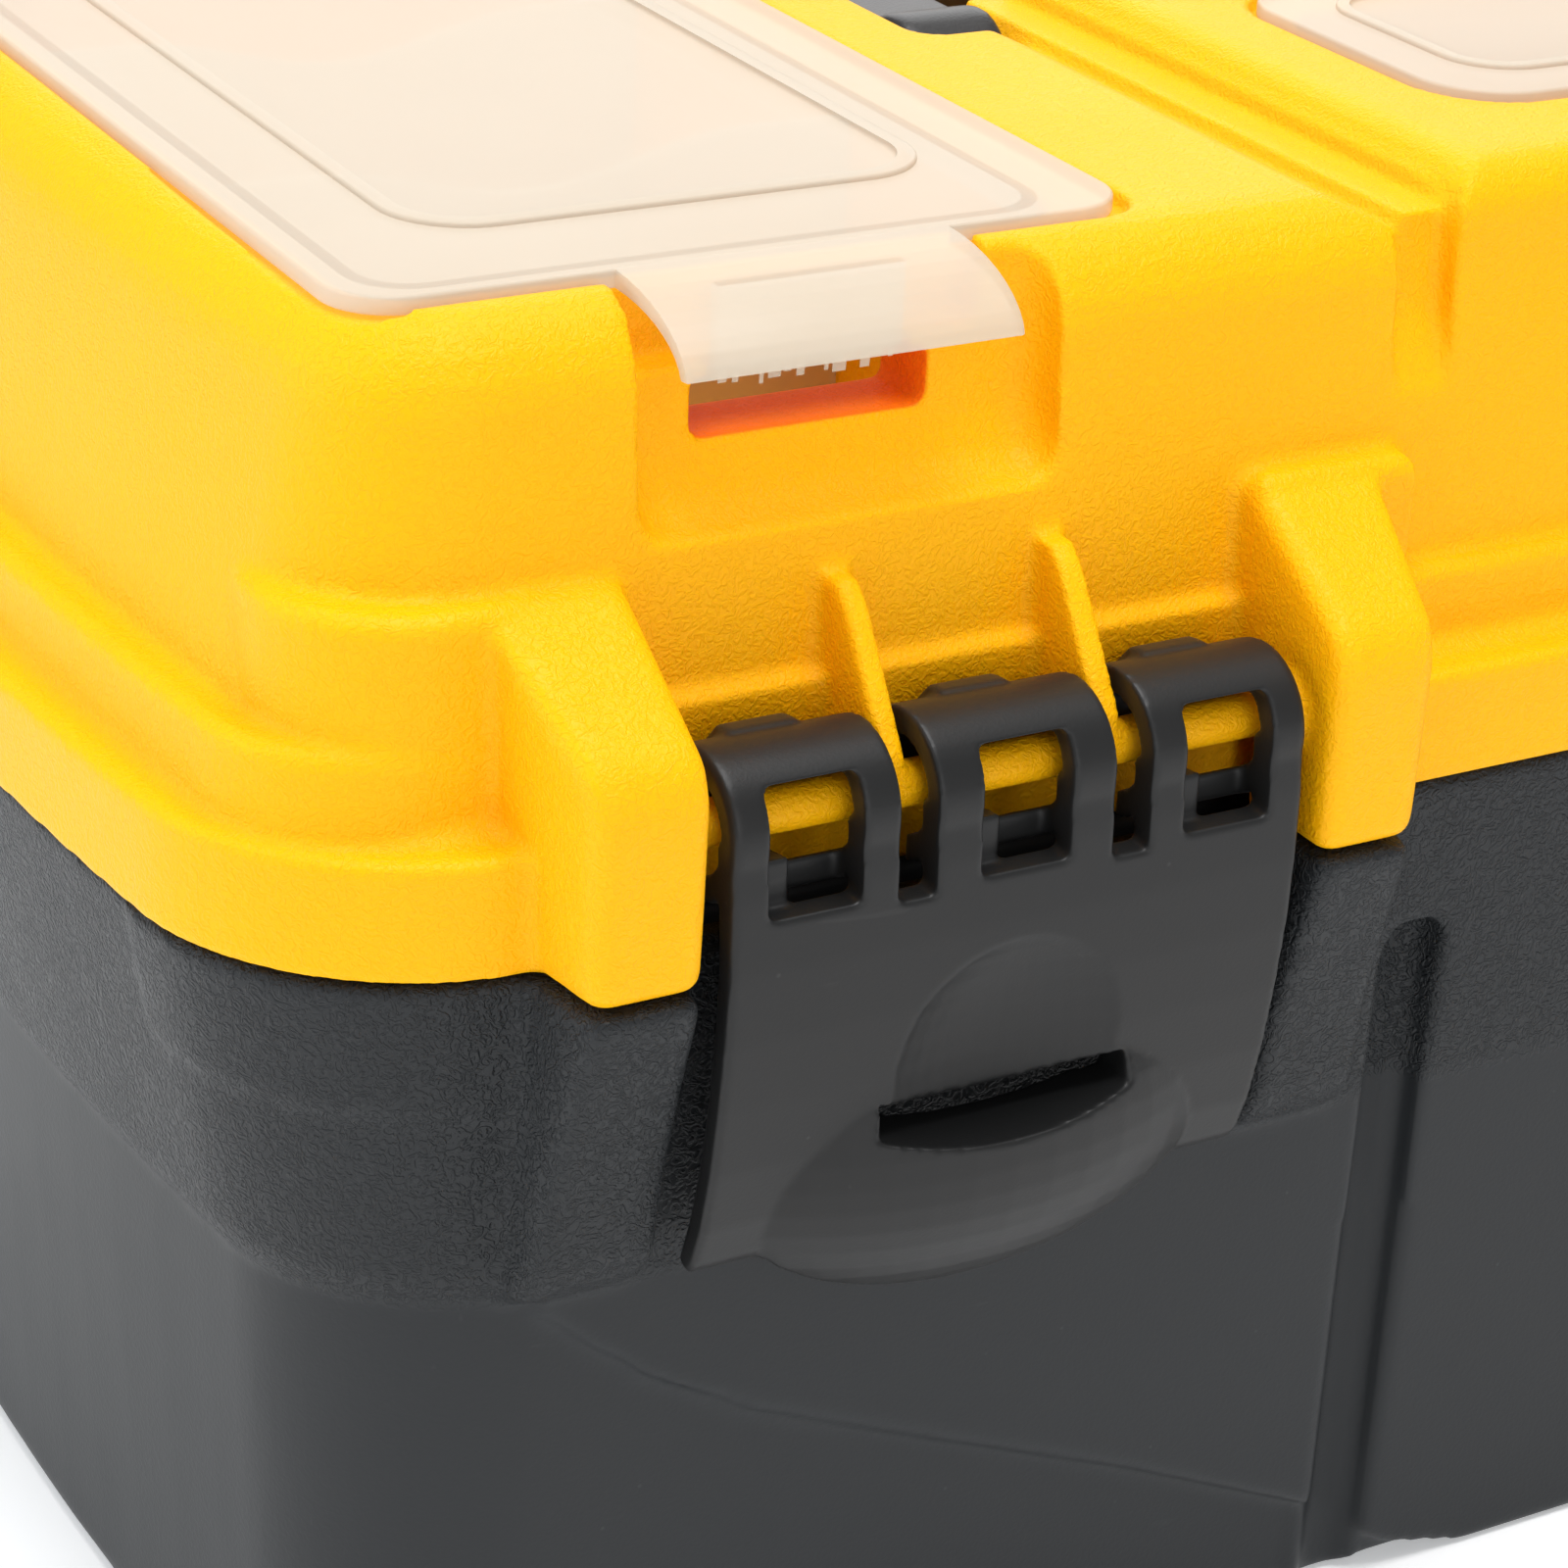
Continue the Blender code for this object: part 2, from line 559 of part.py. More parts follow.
def make_organiser_dividers():
    floor = BIN_PLATE + WALL + GAP
    for side in (-1, 1):
        x = side_range(side, END_LID_X[0] + 4 + GAP, END_LID_X[1] - 4 - GAP)
        for place, y in (("front", -24), ("rear", 24)):
            name = f"end_divider_{side_name(side)}_{place}"
            block(name, x, (y - 0.9, y + 0.9), (floor, END_TOP - 4), "milky")
    for place, span in (("front", FRONT_LID_Y), ("rear", REAR_LID_Y)):
        y = (span[0] + 4 + GAP, span[1] - 3 - GAP)
        block(f"centre_divider_{place}", (-0.9, 0.9), y, (floor, CENTRE_TOP - 4), "milky")


def hang_moving_pieces():
    """Each moving body on its joint's axis; what the lid carries follows the lid."""
    dividers = [f"end_divider_{side}_{place}" for side in ("left", "right") for place in ("front", "rear")]
    dividers += ["centre_divider_front", "centre_divider_rear"]
    pins = ["handle_pin_left", "handle_pin_right"]
    lid = hang("lid_axis", (0, HINGE_Y, HINGE_Z), "lid_shell", *pins, *dividers)
    plate = END_TOP - SEAT_DEPTH + GAP + PLATE
    middle = sum(END_LID_X) / 2
    for side in (-1, 1):
        name = side_name(side)
        hang(f"latch_axis_{name}", (side * LATCH_X, BAR_Y, BAR_Z), f"latch_{name}", parent=lid)
        end = (side * middle, END_LID_Y[1], plate)
        hang(f"end_lid_axis_{name}", end, f"end_organiser_lid_{name}", parent=lid)
    plate = CENTRE_TOP - SEAT_DEPTH + GAP + PLATE
    hang("front_lid_axis", (0, FRONT_LID_Y[1], plate), "centre_organiser_lid_front", parent=lid)
    hang("rear_lid_axis", (0, REAR_LID_Y[0], plate), "centre_organiser_lid_rear", parent=lid)
    hang("handle_axis", (0, HANDLE_Y, HANDLE_Z), "carry_handle", parent=lid)
    inside = [f"tray_divider_{number}" for number in (1, 2, 3)]
    hang("tray_lift", (0, 0, TRAY_BOTTOM), "tray", "tray_handle", *inside)


clear_scene()
PARTS = new_collection("toolbox_with_tray")
CUTTERS = new_collection("cutters", hidden=True)
make_base()
make_lid()
for latch_side in (-1, 1):
    make_latch(latch_side)
make_organiser_lids()
make_carry_handle()
make_hinge_pins()
make_tray()
make_tray_fittings()
make_organiser_dividers()
hang_moving_pieces()
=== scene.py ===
"""The finished look of a moulded toolbox: every moulding, lid, latch and divider, in a plain studio.

X runs along the front, Y backwards, Z up. Shapes are drawn in millimetres and scaled to metres when done.
"""

import json
import math

import bmesh
import bpy
from mathutils import Matrix, Vector

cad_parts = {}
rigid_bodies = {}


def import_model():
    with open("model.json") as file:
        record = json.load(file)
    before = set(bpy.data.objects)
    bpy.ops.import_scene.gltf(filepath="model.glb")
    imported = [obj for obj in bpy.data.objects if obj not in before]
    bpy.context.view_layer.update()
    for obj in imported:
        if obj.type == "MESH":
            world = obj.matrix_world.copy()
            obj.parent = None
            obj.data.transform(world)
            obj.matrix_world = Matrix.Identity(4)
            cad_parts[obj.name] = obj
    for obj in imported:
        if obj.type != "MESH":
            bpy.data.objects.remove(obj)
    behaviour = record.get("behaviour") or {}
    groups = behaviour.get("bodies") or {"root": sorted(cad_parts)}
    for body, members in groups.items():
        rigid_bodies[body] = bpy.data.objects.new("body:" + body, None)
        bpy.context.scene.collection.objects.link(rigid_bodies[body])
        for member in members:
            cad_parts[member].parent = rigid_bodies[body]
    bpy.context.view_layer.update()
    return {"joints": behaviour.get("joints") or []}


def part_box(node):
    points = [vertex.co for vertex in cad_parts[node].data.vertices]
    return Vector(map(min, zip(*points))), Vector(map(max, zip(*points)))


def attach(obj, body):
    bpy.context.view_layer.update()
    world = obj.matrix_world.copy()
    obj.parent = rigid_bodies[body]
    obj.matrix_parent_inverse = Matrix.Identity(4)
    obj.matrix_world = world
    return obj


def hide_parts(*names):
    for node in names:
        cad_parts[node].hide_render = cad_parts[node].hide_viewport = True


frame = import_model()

MM = 0.001
SIDES = ((-1, "left"), (1, "right"))


def mm_box(node):
    """The lowest and highest corner of a node of the frame, in millimetres."""
    low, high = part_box(node)
    return low / MM, high / MM


def joint_point(name):
    """A point on a joint's axis, in millimetres."""
    joint = next(joint for joint in frame["joints"] if joint["name"] == name)
    return Vector(joint["pos_m"]) / MM


LID_LOW, LID_HIGH = mm_box("lid_shell")
PARTING = LID_LOW.z
RIM_HALF = (LID_HIGH.x, 90.4)
CENTRE_TOP = LID_HIGH.z
END_TOP = CENTRE_TOP - 2.5
GAP = 0.3
WALL = 2.5
SIDE_BOW = 0.037

BAND_BOTTOM = 62.0
SHELF_TOP = 131.0
RIM_TOP = 110.2

BAR = joint_point("latch_right_hinge")
LATCH_HALF = 30.0
POST_INNER = 32.5
POST_OUTER = 43.5
KNUCKLES = ((-30.0, -13.2), (-9.3, 9.3), (13.2, 30.0))
HINGE = joint_point("lid_hinge")
HINGE_X = 120.0
FOLD = joint_point("handle_fold")


# Shapes


def forms_collection():
    made = bpy.data.collections.new("forms")
    bpy.context.scene.collection.children.link(made)
    made.hide_render = True
    return made


FORMS = forms_collection()


def form(bm, name):
    """A bmesh in millimetres becomes a building form in metres, for the Booleans below."""
    bmesh.ops.recalc_face_normals(bm, faces=bm.faces)
    bmesh.ops.scale(bm, vec=(MM, MM, MM), verts=bm.verts)
    mesh = bpy.data.meshes.new(name)
    bm.to_mesh(mesh)
    bm.free()
    obj = bpy.data.objects.new(name, mesh)
    FORMS.objects.link(obj)
    return obj


def bevel(bm, edges, width, segments):
    bmesh.ops.bevel(
        bm, geom=edges, offset=width, segments=segments, profile=0.5, affect="EDGES", material=-1
    )


def upright(edge):
    a, b = (vert.co for vert in edge.verts)
    return abs(a.x - b.x) < 1e-5 and abs(a.y - b.y) < 1e-5


def level_with(z):
    return lambda edge: all(abs(vert.co.z - z) < 1e-4 for vert in edge.verts)


def block_mesh(x, y, z, corner=0.0, top_round=0.0, bottom_round=0.0, soften=0.0, segments=8):
    """A box whose upright edges, top, bottom or all edges can be rounded."""
    bm = bmesh.new()
    bmesh.ops.create_cube(bm, size=1.0)
    bmesh.ops.scale(bm, vec=(x[1] - x[0], y[1] - y[0], z[1] - z[0]), verts=bm.verts)
    middle = ((x[0] + x[1]) / 2, (y[0] + y[1]) / 2, (z[0] + z[1]) / 2)
    bmesh.ops.translate(bm, vec=middle, verts=bm.verts)
    if corner:
        bevel(bm, [edge for edge in bm.edges if upright(edge)], corner, segments)
    for z_level, width in ((z[1], top_round), (z[0], bottom_round)):
        if width:
            on_level = level_with(z_level)
            bevel(bm, [edge for edge in bm.edges if on_level(edge)], width, 5)
    if soften:
        bevel(bm, bm.edges[:], soften, 3)
    return bm


def block(name, x, y, z, **rounding):
    return form(block_mesh(x, y, z, **rounding), name)


def bow(bm):
    """Draws the short sides in towards the corners, along a shallow arc."""
    for y in range(-80, 81, 10):
        everything = bm.verts[:] + bm.edges[:] + bm.faces[:]
        bmesh.ops.bisect_plane(bm, geom=everything, plane_co=(0, y, 0), plane_no=(0, 1, 0))
    for vert in bm.verts:
        vert.co.x *= 1 - SIDE_BOW * (vert.co.y / RIM_HALF[1]) ** 2


def tub(name, low_half, top_half, z, corner, **rounding):
    """A bowed block on the middle of the box whose half sizes change evenly from its bottom to its top."""
    x, y = (-top_half[0], top_half[0]), (-top_half[1], top_half[1])
    bm = block_mesh(x, y, z, corner=corner, segments=14, **rounding)
    for vert in bm.verts:
        share = (z[1] - vert.co.z) / (z[1] - z[0])
        vert.co.x *= 1 + share * (low_half[0] / top_half[0] - 1)
        vert.co.y *= 1 + share * (low_half[1] / top_half[1] - 1)
    bow(bm)
    return form(bm, name)


def prism_mesh(profile, x, soften=0.0, segments=3):
    """A profile of (Y, Z) points, swept along X, with every edge softened."""
    bm = bmesh.new()
    face = bm.faces.new([bm.verts.new((x[0], y, z)) for y, z in profile])
    swept = bmesh.ops.extrude_face_region(bm, geom=[face])["geom"]
    moved = [item for item in swept if isinstance(item, bmesh.types.BMVert)]
    bmesh.ops.translate(bm, vec=(x[1] - x[0], 0, 0), verts=moved)
    if soften:
        bevel(bm, bm.edges[:], soften, segments)
    return bm


def prism(name, profile, x, soften=0.0, segments=3):
    return form(prism_mesh(profile, x, soften, segments), name)


def rod_mesh(radius, x, y, z, sides=48, chamfer=0.0):
    """A cylinder along X, chamfered at its ends if asked."""
    bm = bmesh.new()
    bmesh.ops.create_cone(
        bm, cap_ends=True, segments=sides, radius1=radius, radius2=radius, depth=x[1] - x[0]
    )
    if chamfer:
        ends = [edge for edge in bm.edges if abs(edge.verts[0].co.z - edge.verts[1].co.z) < 1e-5]
        bevel(bm, ends, chamfer, 3)
    bmesh.ops.rotate(bm, cent=(0, 0, 0), matrix=Matrix.Rotation(math.pi / 2, 3, "Y"), verts=bm.verts)
    bmesh.ops.translate(bm, vec=((x[0] + x[1]) / 2, y, z), verts=bm.verts)
    return bm


def rod(name, radius, x, y, z, **options):
    return form(rod_mesh(radius, x, y, z, **options), name)


def egg_mesh(centre, radii, segments=48):
    bm = bmesh.new()
    bmesh.ops.create_uvsphere(bm, u_segments=segments, v_segments=segments // 2, radius=1.0)
    bmesh.ops.scale(bm, vec=radii, verts=bm.verts)
    bmesh.ops.translate(bm, vec=centre, verts=bm.verts)
    return bm


def egg(name, centre, radii):
    return form(egg_mesh(centre, radii), name)


def combine(target, operation, *others):
    for other in others:
        modifier = target.modifiers.new(other.name, "BOOLEAN")
        modifier.operation = operation
        modifier.solver = "MANIFOLD"
        modifier.object = other
    return target


def add(target, *others):
    return combine(target, "UNION", *others)


def cut(target, *others):
    return combine(target, "DIFFERENCE", *others)


def keep_within(target, *others):
    return combine(target, "INTERSECT", *others)


def side_range(side, low, high):
    """The range low to high on the right of the box, or its mirror image on the left."""
    return (low, high) if side > 0 else (-high, -low)


def settled(obj, name):
    """A new object with the other's modifiers applied to its mesh; the other one is removed."""
    graph = bpy.context.evaluated_depsgraph_get()
    mesh = bpy.data.meshes.new_from_object(obj.evaluated_get(graph))
    bpy.data.objects.remove(obj, do_unlink=True)
    mesh.name = name
    made = bpy.data.objects.new(name, mesh)
    bpy.context.scene.collection.objects.link(made)
    return made


def moulded(assembly, name, voxel, relax, most_triangles):
    """One continuous skin over a Boolean assembly, with the small soft radii of a moulding."""
    skin = assembly.modifiers.new("skin", "REMESH")
    skin.mode = "VOXEL"
    skin.voxel_size = voxel * MM * 1.0
    soften = assembly.modifiers.new("soften", "SMOOTH")
    soften.factor = 0.5
    soften.iterations = relax
    made = settled(assembly, name + "_raw")
    triangles = 2 * len(made.data.polygons)
    if triangles > most_triangles:
        thin = made.modifiers.new("thin", "DECIMATE")
        thin.ratio = most_triangles / triangles
    made = settled(made, name)
    made.data.shade_smooth()
    return made


def piece_from(bm, name, soft_angle=40.0):
    """A bmesh in millimetres becomes a finished piece in metres."""
    obj = form(bm, name)
    FORMS.objects.unlink(obj)
    bpy.context.scene.collection.objects.link(obj)
    obj.data.shade_smooth()
    obj.data.set_sharp_from_angle(angle=math.radians(soft_angle))
    return obj


def clear_forms():
    for obj in list(FORMS.objects):
        bpy.data.objects.remove(obj, do_unlink=True)
    bpy.data.collections.remove(FORMS)


# Effects that several plastics share


def new_group(name, inputs, outputs):
    group = bpy.data.node_groups.new(name, "ShaderNodeTree")
    for label, value in inputs:
        socket = group.interface.new_socket(label, in_out="INPUT", socket_type="NodeSocketFloat")
        socket.default_value = value
    for label in outputs:
        group.interface.new_socket(label, in_out="OUTPUT", socket_type="NodeSocketFloat")
    start = group.nodes.new("NodeGroupInput")
    end = group.nodes.new("NodeGroupOutput")
    return group, start, end


def node(tree, kind, settings=None, **inputs):
    """A node with its settings and its unlinked inputs; an input's name has _ for a space."""
    made = tree.nodes.new(kind)
    for key, value in (settings or {}).items():
        setattr(made, key, value)
    for key, value in inputs.items():
        made.inputs[key.replace("_", " ")].default_value = value
    return made


def chain(tree, *links):
    for source, target in links:
        tree.links.new(source, target)


def per_mm(tree, size):
    """Object coordinates counted in grains: one unit to each `size` millimetres."""
    place = node(tree, "ShaderNodeTexCoord")
    pitch = node(tree, "ShaderNodeMath", {"operation": "DIVIDE"})
    pitch.inputs[0].default_value = 1 / MM
    grains = node(tree, "ShaderNodeVectorMath", {"operation": "SCALE"})
    chain(
        tree,
        (size, pitch.inputs[1]),
        (place.outputs["Object"], grains.inputs[0]),
        (pitch.outputs[0], grains.inputs["Scale"]),
    )
    return grains.outputs[0]


def make_grain_group():
    """The etched texture of a mould: short wandering ridges, as on leather."""
    inputs = (("Size", 1.0), ("Wander", 1.0), ("Low", 0.4), ("High", 0.6))
    group, start, end = new_group("mould_grain", inputs, ("Height",))
    ridges = node(group, "ShaderNodeTexNoise", Scale=1.0, Detail=2.0, Roughness=0.45)
    shaped = node(group, "ShaderNodeMapRange", {"interpolation_type": "SMOOTHSTEP"})
    chain(
        group,
        (per_mm(group, start.outputs["Size"]), ridges.inputs["Vector"]),
        (start.outputs["Wander"], ridges.inputs["Distortion"]),
        (ridges.outputs["Fac"], shaped.inputs["Value"]),
        (start.outputs["Low"], shaped.inputs["From Min"]),
        (start.outputs["High"], shaped.inputs["From Max"]),
        (shaped.outputs["Result"], end.inputs["Height"]),
    )
    return group


def make_handling_group():
    """Marks of use: slow mottling, sparse dust and faint scuffs."""
    group, start, end = new_group("handling", (("Size", 1.0),), ("Mottle", "Dust", "Scuff"))
    grains = per_mm(group, start.outputs["Size"])
    slow = node(group, "ShaderNodeTexNoise", Scale=0.035, Detail=3.0, Roughness=0.6)
    specks = node(group, "ShaderNodeTexVoronoi", {"feature": "F1"}, Scale=0.16, Randomness=1.0)
    speck_size = node(group, "ShaderNodeMapRange", From_Min=0.02, From_Max=0.045, To_Min=1.0, To_Max=0.0)
    streak_way = node(group, "ShaderNodeMapping", {"vector_type": "POINT"})
    streak_way.inputs["Rotation"].default_value = (0.3, 0.9, 0.6)
    streak_way.inputs["Scale"].default_value = (0.08, 2.2, 0.6)
    streaks = node(group, "ShaderNodeTexNoise", Scale=1.0, Detail=2.0, Roughness=0.5, Distortion=0.4)
    thin = node(group, "ShaderNodeMapRange", From_Min=0.72, From_Max=0.78)
    chain(
        group,
        (grains, slow.inputs["Vector"]),
        (grains, specks.inputs["Vector"]),
        (grains, streak_way.inputs["Vector"]),
        (streak_way.outputs["Vector"], streaks.inputs["Vector"]),
        (specks.outputs["Distance"], speck_size.inputs["Value"]),
        (streaks.outputs["Fac"], thin.inputs["Value"]),
        (slow.outputs["Fac"], end.inputs["Mottle"]),
        (speck_size.outputs["Result"], end.inputs["Dust"]),
        (thin.outputs["Result"], end.inputs["Scuff"]),
    )
    return group


GRAIN = make_grain_group()
HANDLING = make_handling_group()


def use_group(tree, group, **values):
    made = tree.nodes.new("ShaderNodeGroup")
    made.node_tree = group
    for key, value in values.items():
        made.inputs[key].default_value = value
    return made


def mix_colours(tree, share, first, second):
    """A colour between two, by a share that changes over the surface."""
    mix = node(tree, "ShaderNodeMix", {"data_type": "RGBA"})
    tree.links.new(share, mix.inputs["Factor"])
    for socket, colour in ((mix.inputs[6], first), (mix.inputs[7], second)):
        if isinstance(colour, tuple):
            socket.default_value = (*colour, 1.0)
        else:
            tree.links.new(colour, socket)
    return mix.outputs[2]


def spread(tree, source, low, high):
    """A value from 0 to 1 laid out between low and high."""
    mapped = node(tree, "ShaderNodeMapRange", To_Min=low, To_Max=high)
    tree.links.new(source, mapped.inputs["Value"])
    return mapped.outputs["Result"]


def multiply(tree, first, second):
    product = node(tree, "ShaderNodeMath", {"operation": "MULTIPLY"})
    for socket, value in zip(product.inputs, (first, second)):
        if isinstance(value, float):
            socket.default_value = value
        else:
            tree.links.new(value, socket)
    return product.outputs[0]


def raised(tree, height, strength, distance, under=None):
    """Surface relief from a height; distance is in millimetres."""
    bump = node(tree, "ShaderNodeBump", Strength=strength, Distance=distance * MM)
    tree.links.new(height, bump.inputs["Height"])
    if under:
        tree.links.new(under, bump.inputs["Normal"])
    return bump.outputs["Normal"]


def plastic(name, colour, second, rough, grain, relief, dust=0.35, **fixed):
    """A moulded plastic: two close colours, fine grain, mottled gloss, dust and scuffs."""
    made = bpy.data.materials.new(name)
    made.use_nodes = True
    tree = made.node_tree
    shader = tree.nodes["Principled BSDF"]
    marks = use_group(tree, HANDLING, Size=1.0)
    fine = use_group(tree, GRAIN, **grain)
    mottled = mix_colours(tree, spread(tree, marks.outputs["Mottle"], 0.15, 0.85), colour, second)
    pale = tuple(0.6 * part + 0.25 for part in colour)
    dusty = mix_colours(tree, multiply(tree, marks.outputs["Dust"], dust), mottled, pale)
    scuffed = mix_colours(tree, multiply(tree, marks.outputs["Scuff"], dust * 0.4), dusty, pale)
    gloss = spread(tree, marks.outputs["Mottle"], rough[0], rough[1])
    chain(
        tree,
        (scuffed, shader.inputs["Base Color"]),
        (gloss, shader.inputs["Roughness"]),
        (raised(tree, fine.outputs["Height"], *relief), shader.inputs["Normal"]),
    )
    for key, value in fixed.items():
        shader.inputs[key.replace("_", " ")].default_value = value
    return made


def inside_range(tree, value, low, high, fade):
    """1 where a value lies between low and high, and 0 past them, over a short fade; all in millimetres."""
    rise = node(tree, "ShaderNodeMapRange", From_Min=(low - fade) * MM, From_Max=low * MM)
    fall = node(tree, "ShaderNodeMapRange", From_Min=high * MM, From_Max=(high + fade) * MM)
    fall.inputs["To Min"].default_value = 1.0
    fall.inputs["To Max"].default_value = 0.0
    chain(tree, (value, rise.inputs["Value"]), (value, fall.inputs["Value"]))
    return multiply(tree, rise.outputs["Result"], fall.outputs["Result"])


def make_yellow():
    """Polypropylene with a little subsurface scattering; inside each catch hole the colour is painted a
    deeper red-orange, a painted glow that stands in for light coming back out of the bin.
    """
    made = plastic(
        "yellow_polypropylene",
        (0.95, 0.455, 0.001),
        (0.94, 0.43, 0.001),
        (0.38, 0.48),
        {"Size": 0.8, "Wander": 1.4, "Low": 0.36, "High": 0.66},
        (0.5, 0.16),
        dust=0.05,
        Specular_IOR_Level=0.13,
        Subsurface_Weight=0.12,
        Subsurface_Radius=(1.0, 0.45, 0.02),
        Subsurface_Scale=0.003,
    )
    tree = made.node_tree
    shader = tree.nodes["Principled BSDF"]
    surface = shader.inputs["Base Color"].links[0].from_socket
    # Painted light: a deeper red-orange painted inside each catch hole stands in for light glowing back out
    # of the bin behind it.
    place = node(tree, "ShaderNodeTexCoord")
    axes = node(tree, "ShaderNodeSeparateXYZ")
    across = node(tree, "ShaderNodeMath", {"operation": "ABSOLUTE"})
    chain(tree, (place.outputs["Object"], axes.inputs[0]), (axes.outputs["X"], across.inputs[0]))
    within = multiply(
        tree,
        inside_range(tree, across.outputs[0], 128.3, 152.7, 0.3),
        inside_range(tree, axes.outputs["Z"], 139.4, 145.4, 0.3),
    )
    depth = inside_range(tree, axes.outputs["Y"], -74.2, -64.0, 0.3)
    painted_hole_glow = mix_colours(tree, multiply(tree, within, depth), surface, (0.95, 0.19, 0.004))
    tree.links.new(painted_hole_glow, shader.inputs["Base Color"])
    return made


def make_charcoal():
    """Charcoal polypropylene, leather-grained on the band and guards and finely sanded below them."""
    made = plastic(
        "charcoal_polypropylene",
        (0.012, 0.0135, 0.015),
        (0.015, 0.017, 0.019),
        (0.42, 0.50),
        {"Size": 0.5, "Wander": 0.5, "Low": 0.35, "High": 0.7},
        (0.15, 0.06),
        dust=0.05,
        Specular_IOR_Level=0.25,
    )
    tree = made.node_tree
    shader = tree.nodes["Principled BSDF"]
    under = shader.inputs["Normal"].links[0].from_socket
    leather = use_group(tree, GRAIN, Size=1.25, Wander=2.4, Low=0.40, High=0.62)
    place = node(tree, "ShaderNodeTexCoord")
    axes = node(tree, "ShaderNodeSeparateXYZ")
    band = node(tree, "ShaderNodeMapRange", From_Min=BAND_BOTTOM * MM, From_Max=(BAND_BOTTOM + 2.5) * MM)
    chain(tree, (place.outputs["Object"], axes.inputs[0]), (axes.outputs["Z"], band.inputs["Value"]))
    height = multiply(tree, leather.outputs["Height"], band.outputs["Result"])
    tree.links.new(raised(tree, height, 0.8, 0.22, under), shader.inputs["Normal"])
    return made


def make_milky():
    """The clear polypropylene of the organiser lids: milky, with faint flow marks and fine scratches."""
    made = plastic(
        "milky_polypropylene",
        (0.57, 0.49, 0.385),
        (0.64, 0.57, 0.465),
        (0.30, 0.42),
        {"Size": 2.2, "Wander": 1.4, "Low": 0.3, "High": 0.75},
        (0.05, 0.05),
        dust=0.12,
        Specular_IOR_Level=0.2,
    )
    tree = made.node_tree
    shader = tree.nodes["Principled BSDF"]
    ray = node(tree, "ShaderNodeLightPath")
    clarity = node(tree, "ShaderNodeMapRange", To_Min=0.6, To_Max=0.25)
    chain(
        tree,
        (ray.outputs["Is Shadow Ray"], clarity.inputs["Value"]),
        (clarity.outputs["Result"], shader.inputs["Alpha"]),
    )
    return made


def make_materials():
    black_grain = {"Size": 0.35, "Wander": 0.5, "Low": 0.35, "High": 0.7}
    return {
        "yellow": make_yellow(),
        "charcoal": make_charcoal(),
        "milky": make_milky(),
        "latch_black": plastic(
            "latch_nylon",
            (0.010, 0.0102, 0.0104),
            (0.013, 0.0132, 0.0134),
            (0.36, 0.46),
            black_grain,
            (0.12, 0.04),
            dust=0.06,
            Specular_IOR_Level=0.27,
        ),
        "handle_black": plastic(
            "handle_nylon",
            (0.012, 0.011, 0.011),
            (0.017, 0.016, 0.016),
            (0.34, 0.42),
            black_grain,
            (0.2, 0.06),
        ),
        "tray_grey": plastic(
            "tray_polypropylene",
            (0.045, 0.048, 0.05),
            (0.055, 0.058, 0.06),
            (0.38, 0.46),
            black_grain,
            (0.2, 0.06),
        ),
        "steel": plastic(
            "drawn_steel",
            (0.56, 0.56, 0.57),
            (0.44, 0.44, 0.46),
            (0.22, 0.38),
            {"Size": 0.8, "Wander": 0.2, "Low": 0.3, "High": 0.75},
            (0.1, 0.03),
            Metallic=1.0,
        ),
    }


MATERIALS = make_materials()


def place_piece(obj, body, slot, *nodes):
    """Gives a finished piece its plastic, its body, and the nodes that it stands for."""
    obj.data.materials.clear()
    obj.data.materials.append(MATERIALS[slot])
    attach(obj, body)
    if nodes:
        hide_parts(*nodes)
    return obj


# Base


def flanked(name, profile, inner, outer, side, soften):
    """An upright pillar beside a latch: square to it, and raked back on the flank away from it.

    inner and outer are distances from the latch's middle; side says on which side of it the flank is.
    """
    reach = (inner, outer + 4.0)
    bm = prism_mesh(profile, reach)
    front = min(point[0] for point in profile)
    for vert in bm.verts:
        forward = min(max((-84.0 - vert.co.y) / (-84.0 - front), 0.0), 1.0)
        if vert.co.x > inner + 1:
            vert.co.x -= 4.2 * forward
    bevel(bm, bm.edges[:], soften, 4)
    if side < 0:
        bmesh.ops.scale(bm, vec=(-1, 1, 1), verts=bm.verts)
    return bm


def pillars(name, profile, soften=1.6):
    """The four pillars of one kind, two at each latch."""
    made = []
    for latch_side, latch_name in SIDES:
        for side, place in SIDES:
            bm = flanked(name, profile, POST_INNER, POST_OUTER, side, soften)
            bmesh.ops.translate(bm, vec=(latch_side * abs(BAR.x), 0, 0), verts=bm.verts)
            made.append(form(bm, f"{name}_{latch_name}_{place}"))
    return made


SWOOSH = ((0, 0.3), (66, 0.3), (74, 9), (102, 23), (127, 34), (155, 46.7), (172, 61.5), (186, 71))


def swoosh_height(x):
    """The height, at a distance x from the middle, of the line under which the front wall is set back."""
    for (near, low), (far, high) in zip(SWOOSH, SWOOSH[1:]):
        if x <= far:
            return low + (high - low) * (x - near) / (far - near)
    return SWOOSH[-1][1]


def make_apron():
    """The front wall's outer layer: flush with the band, and ending along a swoosh towards each corner."""
    bm = bmesh.new()
    steps = 30
    half = 172.0
    xs = [half * (2 * step / steps - 1) for step in range(steps + 1)]
    low = [(x, swoosh_height(abs(x))) for x in xs]
    outline = low + [(half, 72.0), (-half, 72.0)]
    face = bm.faces.new([bm.verts.new((x, -80.0, z)) for x, z in outline])
    swept = bmesh.ops.extrude_face_region(bm, geom=[face])["geom"]
    moved = [item for item in swept if isinstance(item, bmesh.types.BMVert)]
    bmesh.ops.translate(bm, vec=(0, -7.4, 0), verts=moved)
    for vert in moved:
        vert.co.y -= 0.9 * vert.co.z / 72.0
    return form(bm, "apron")


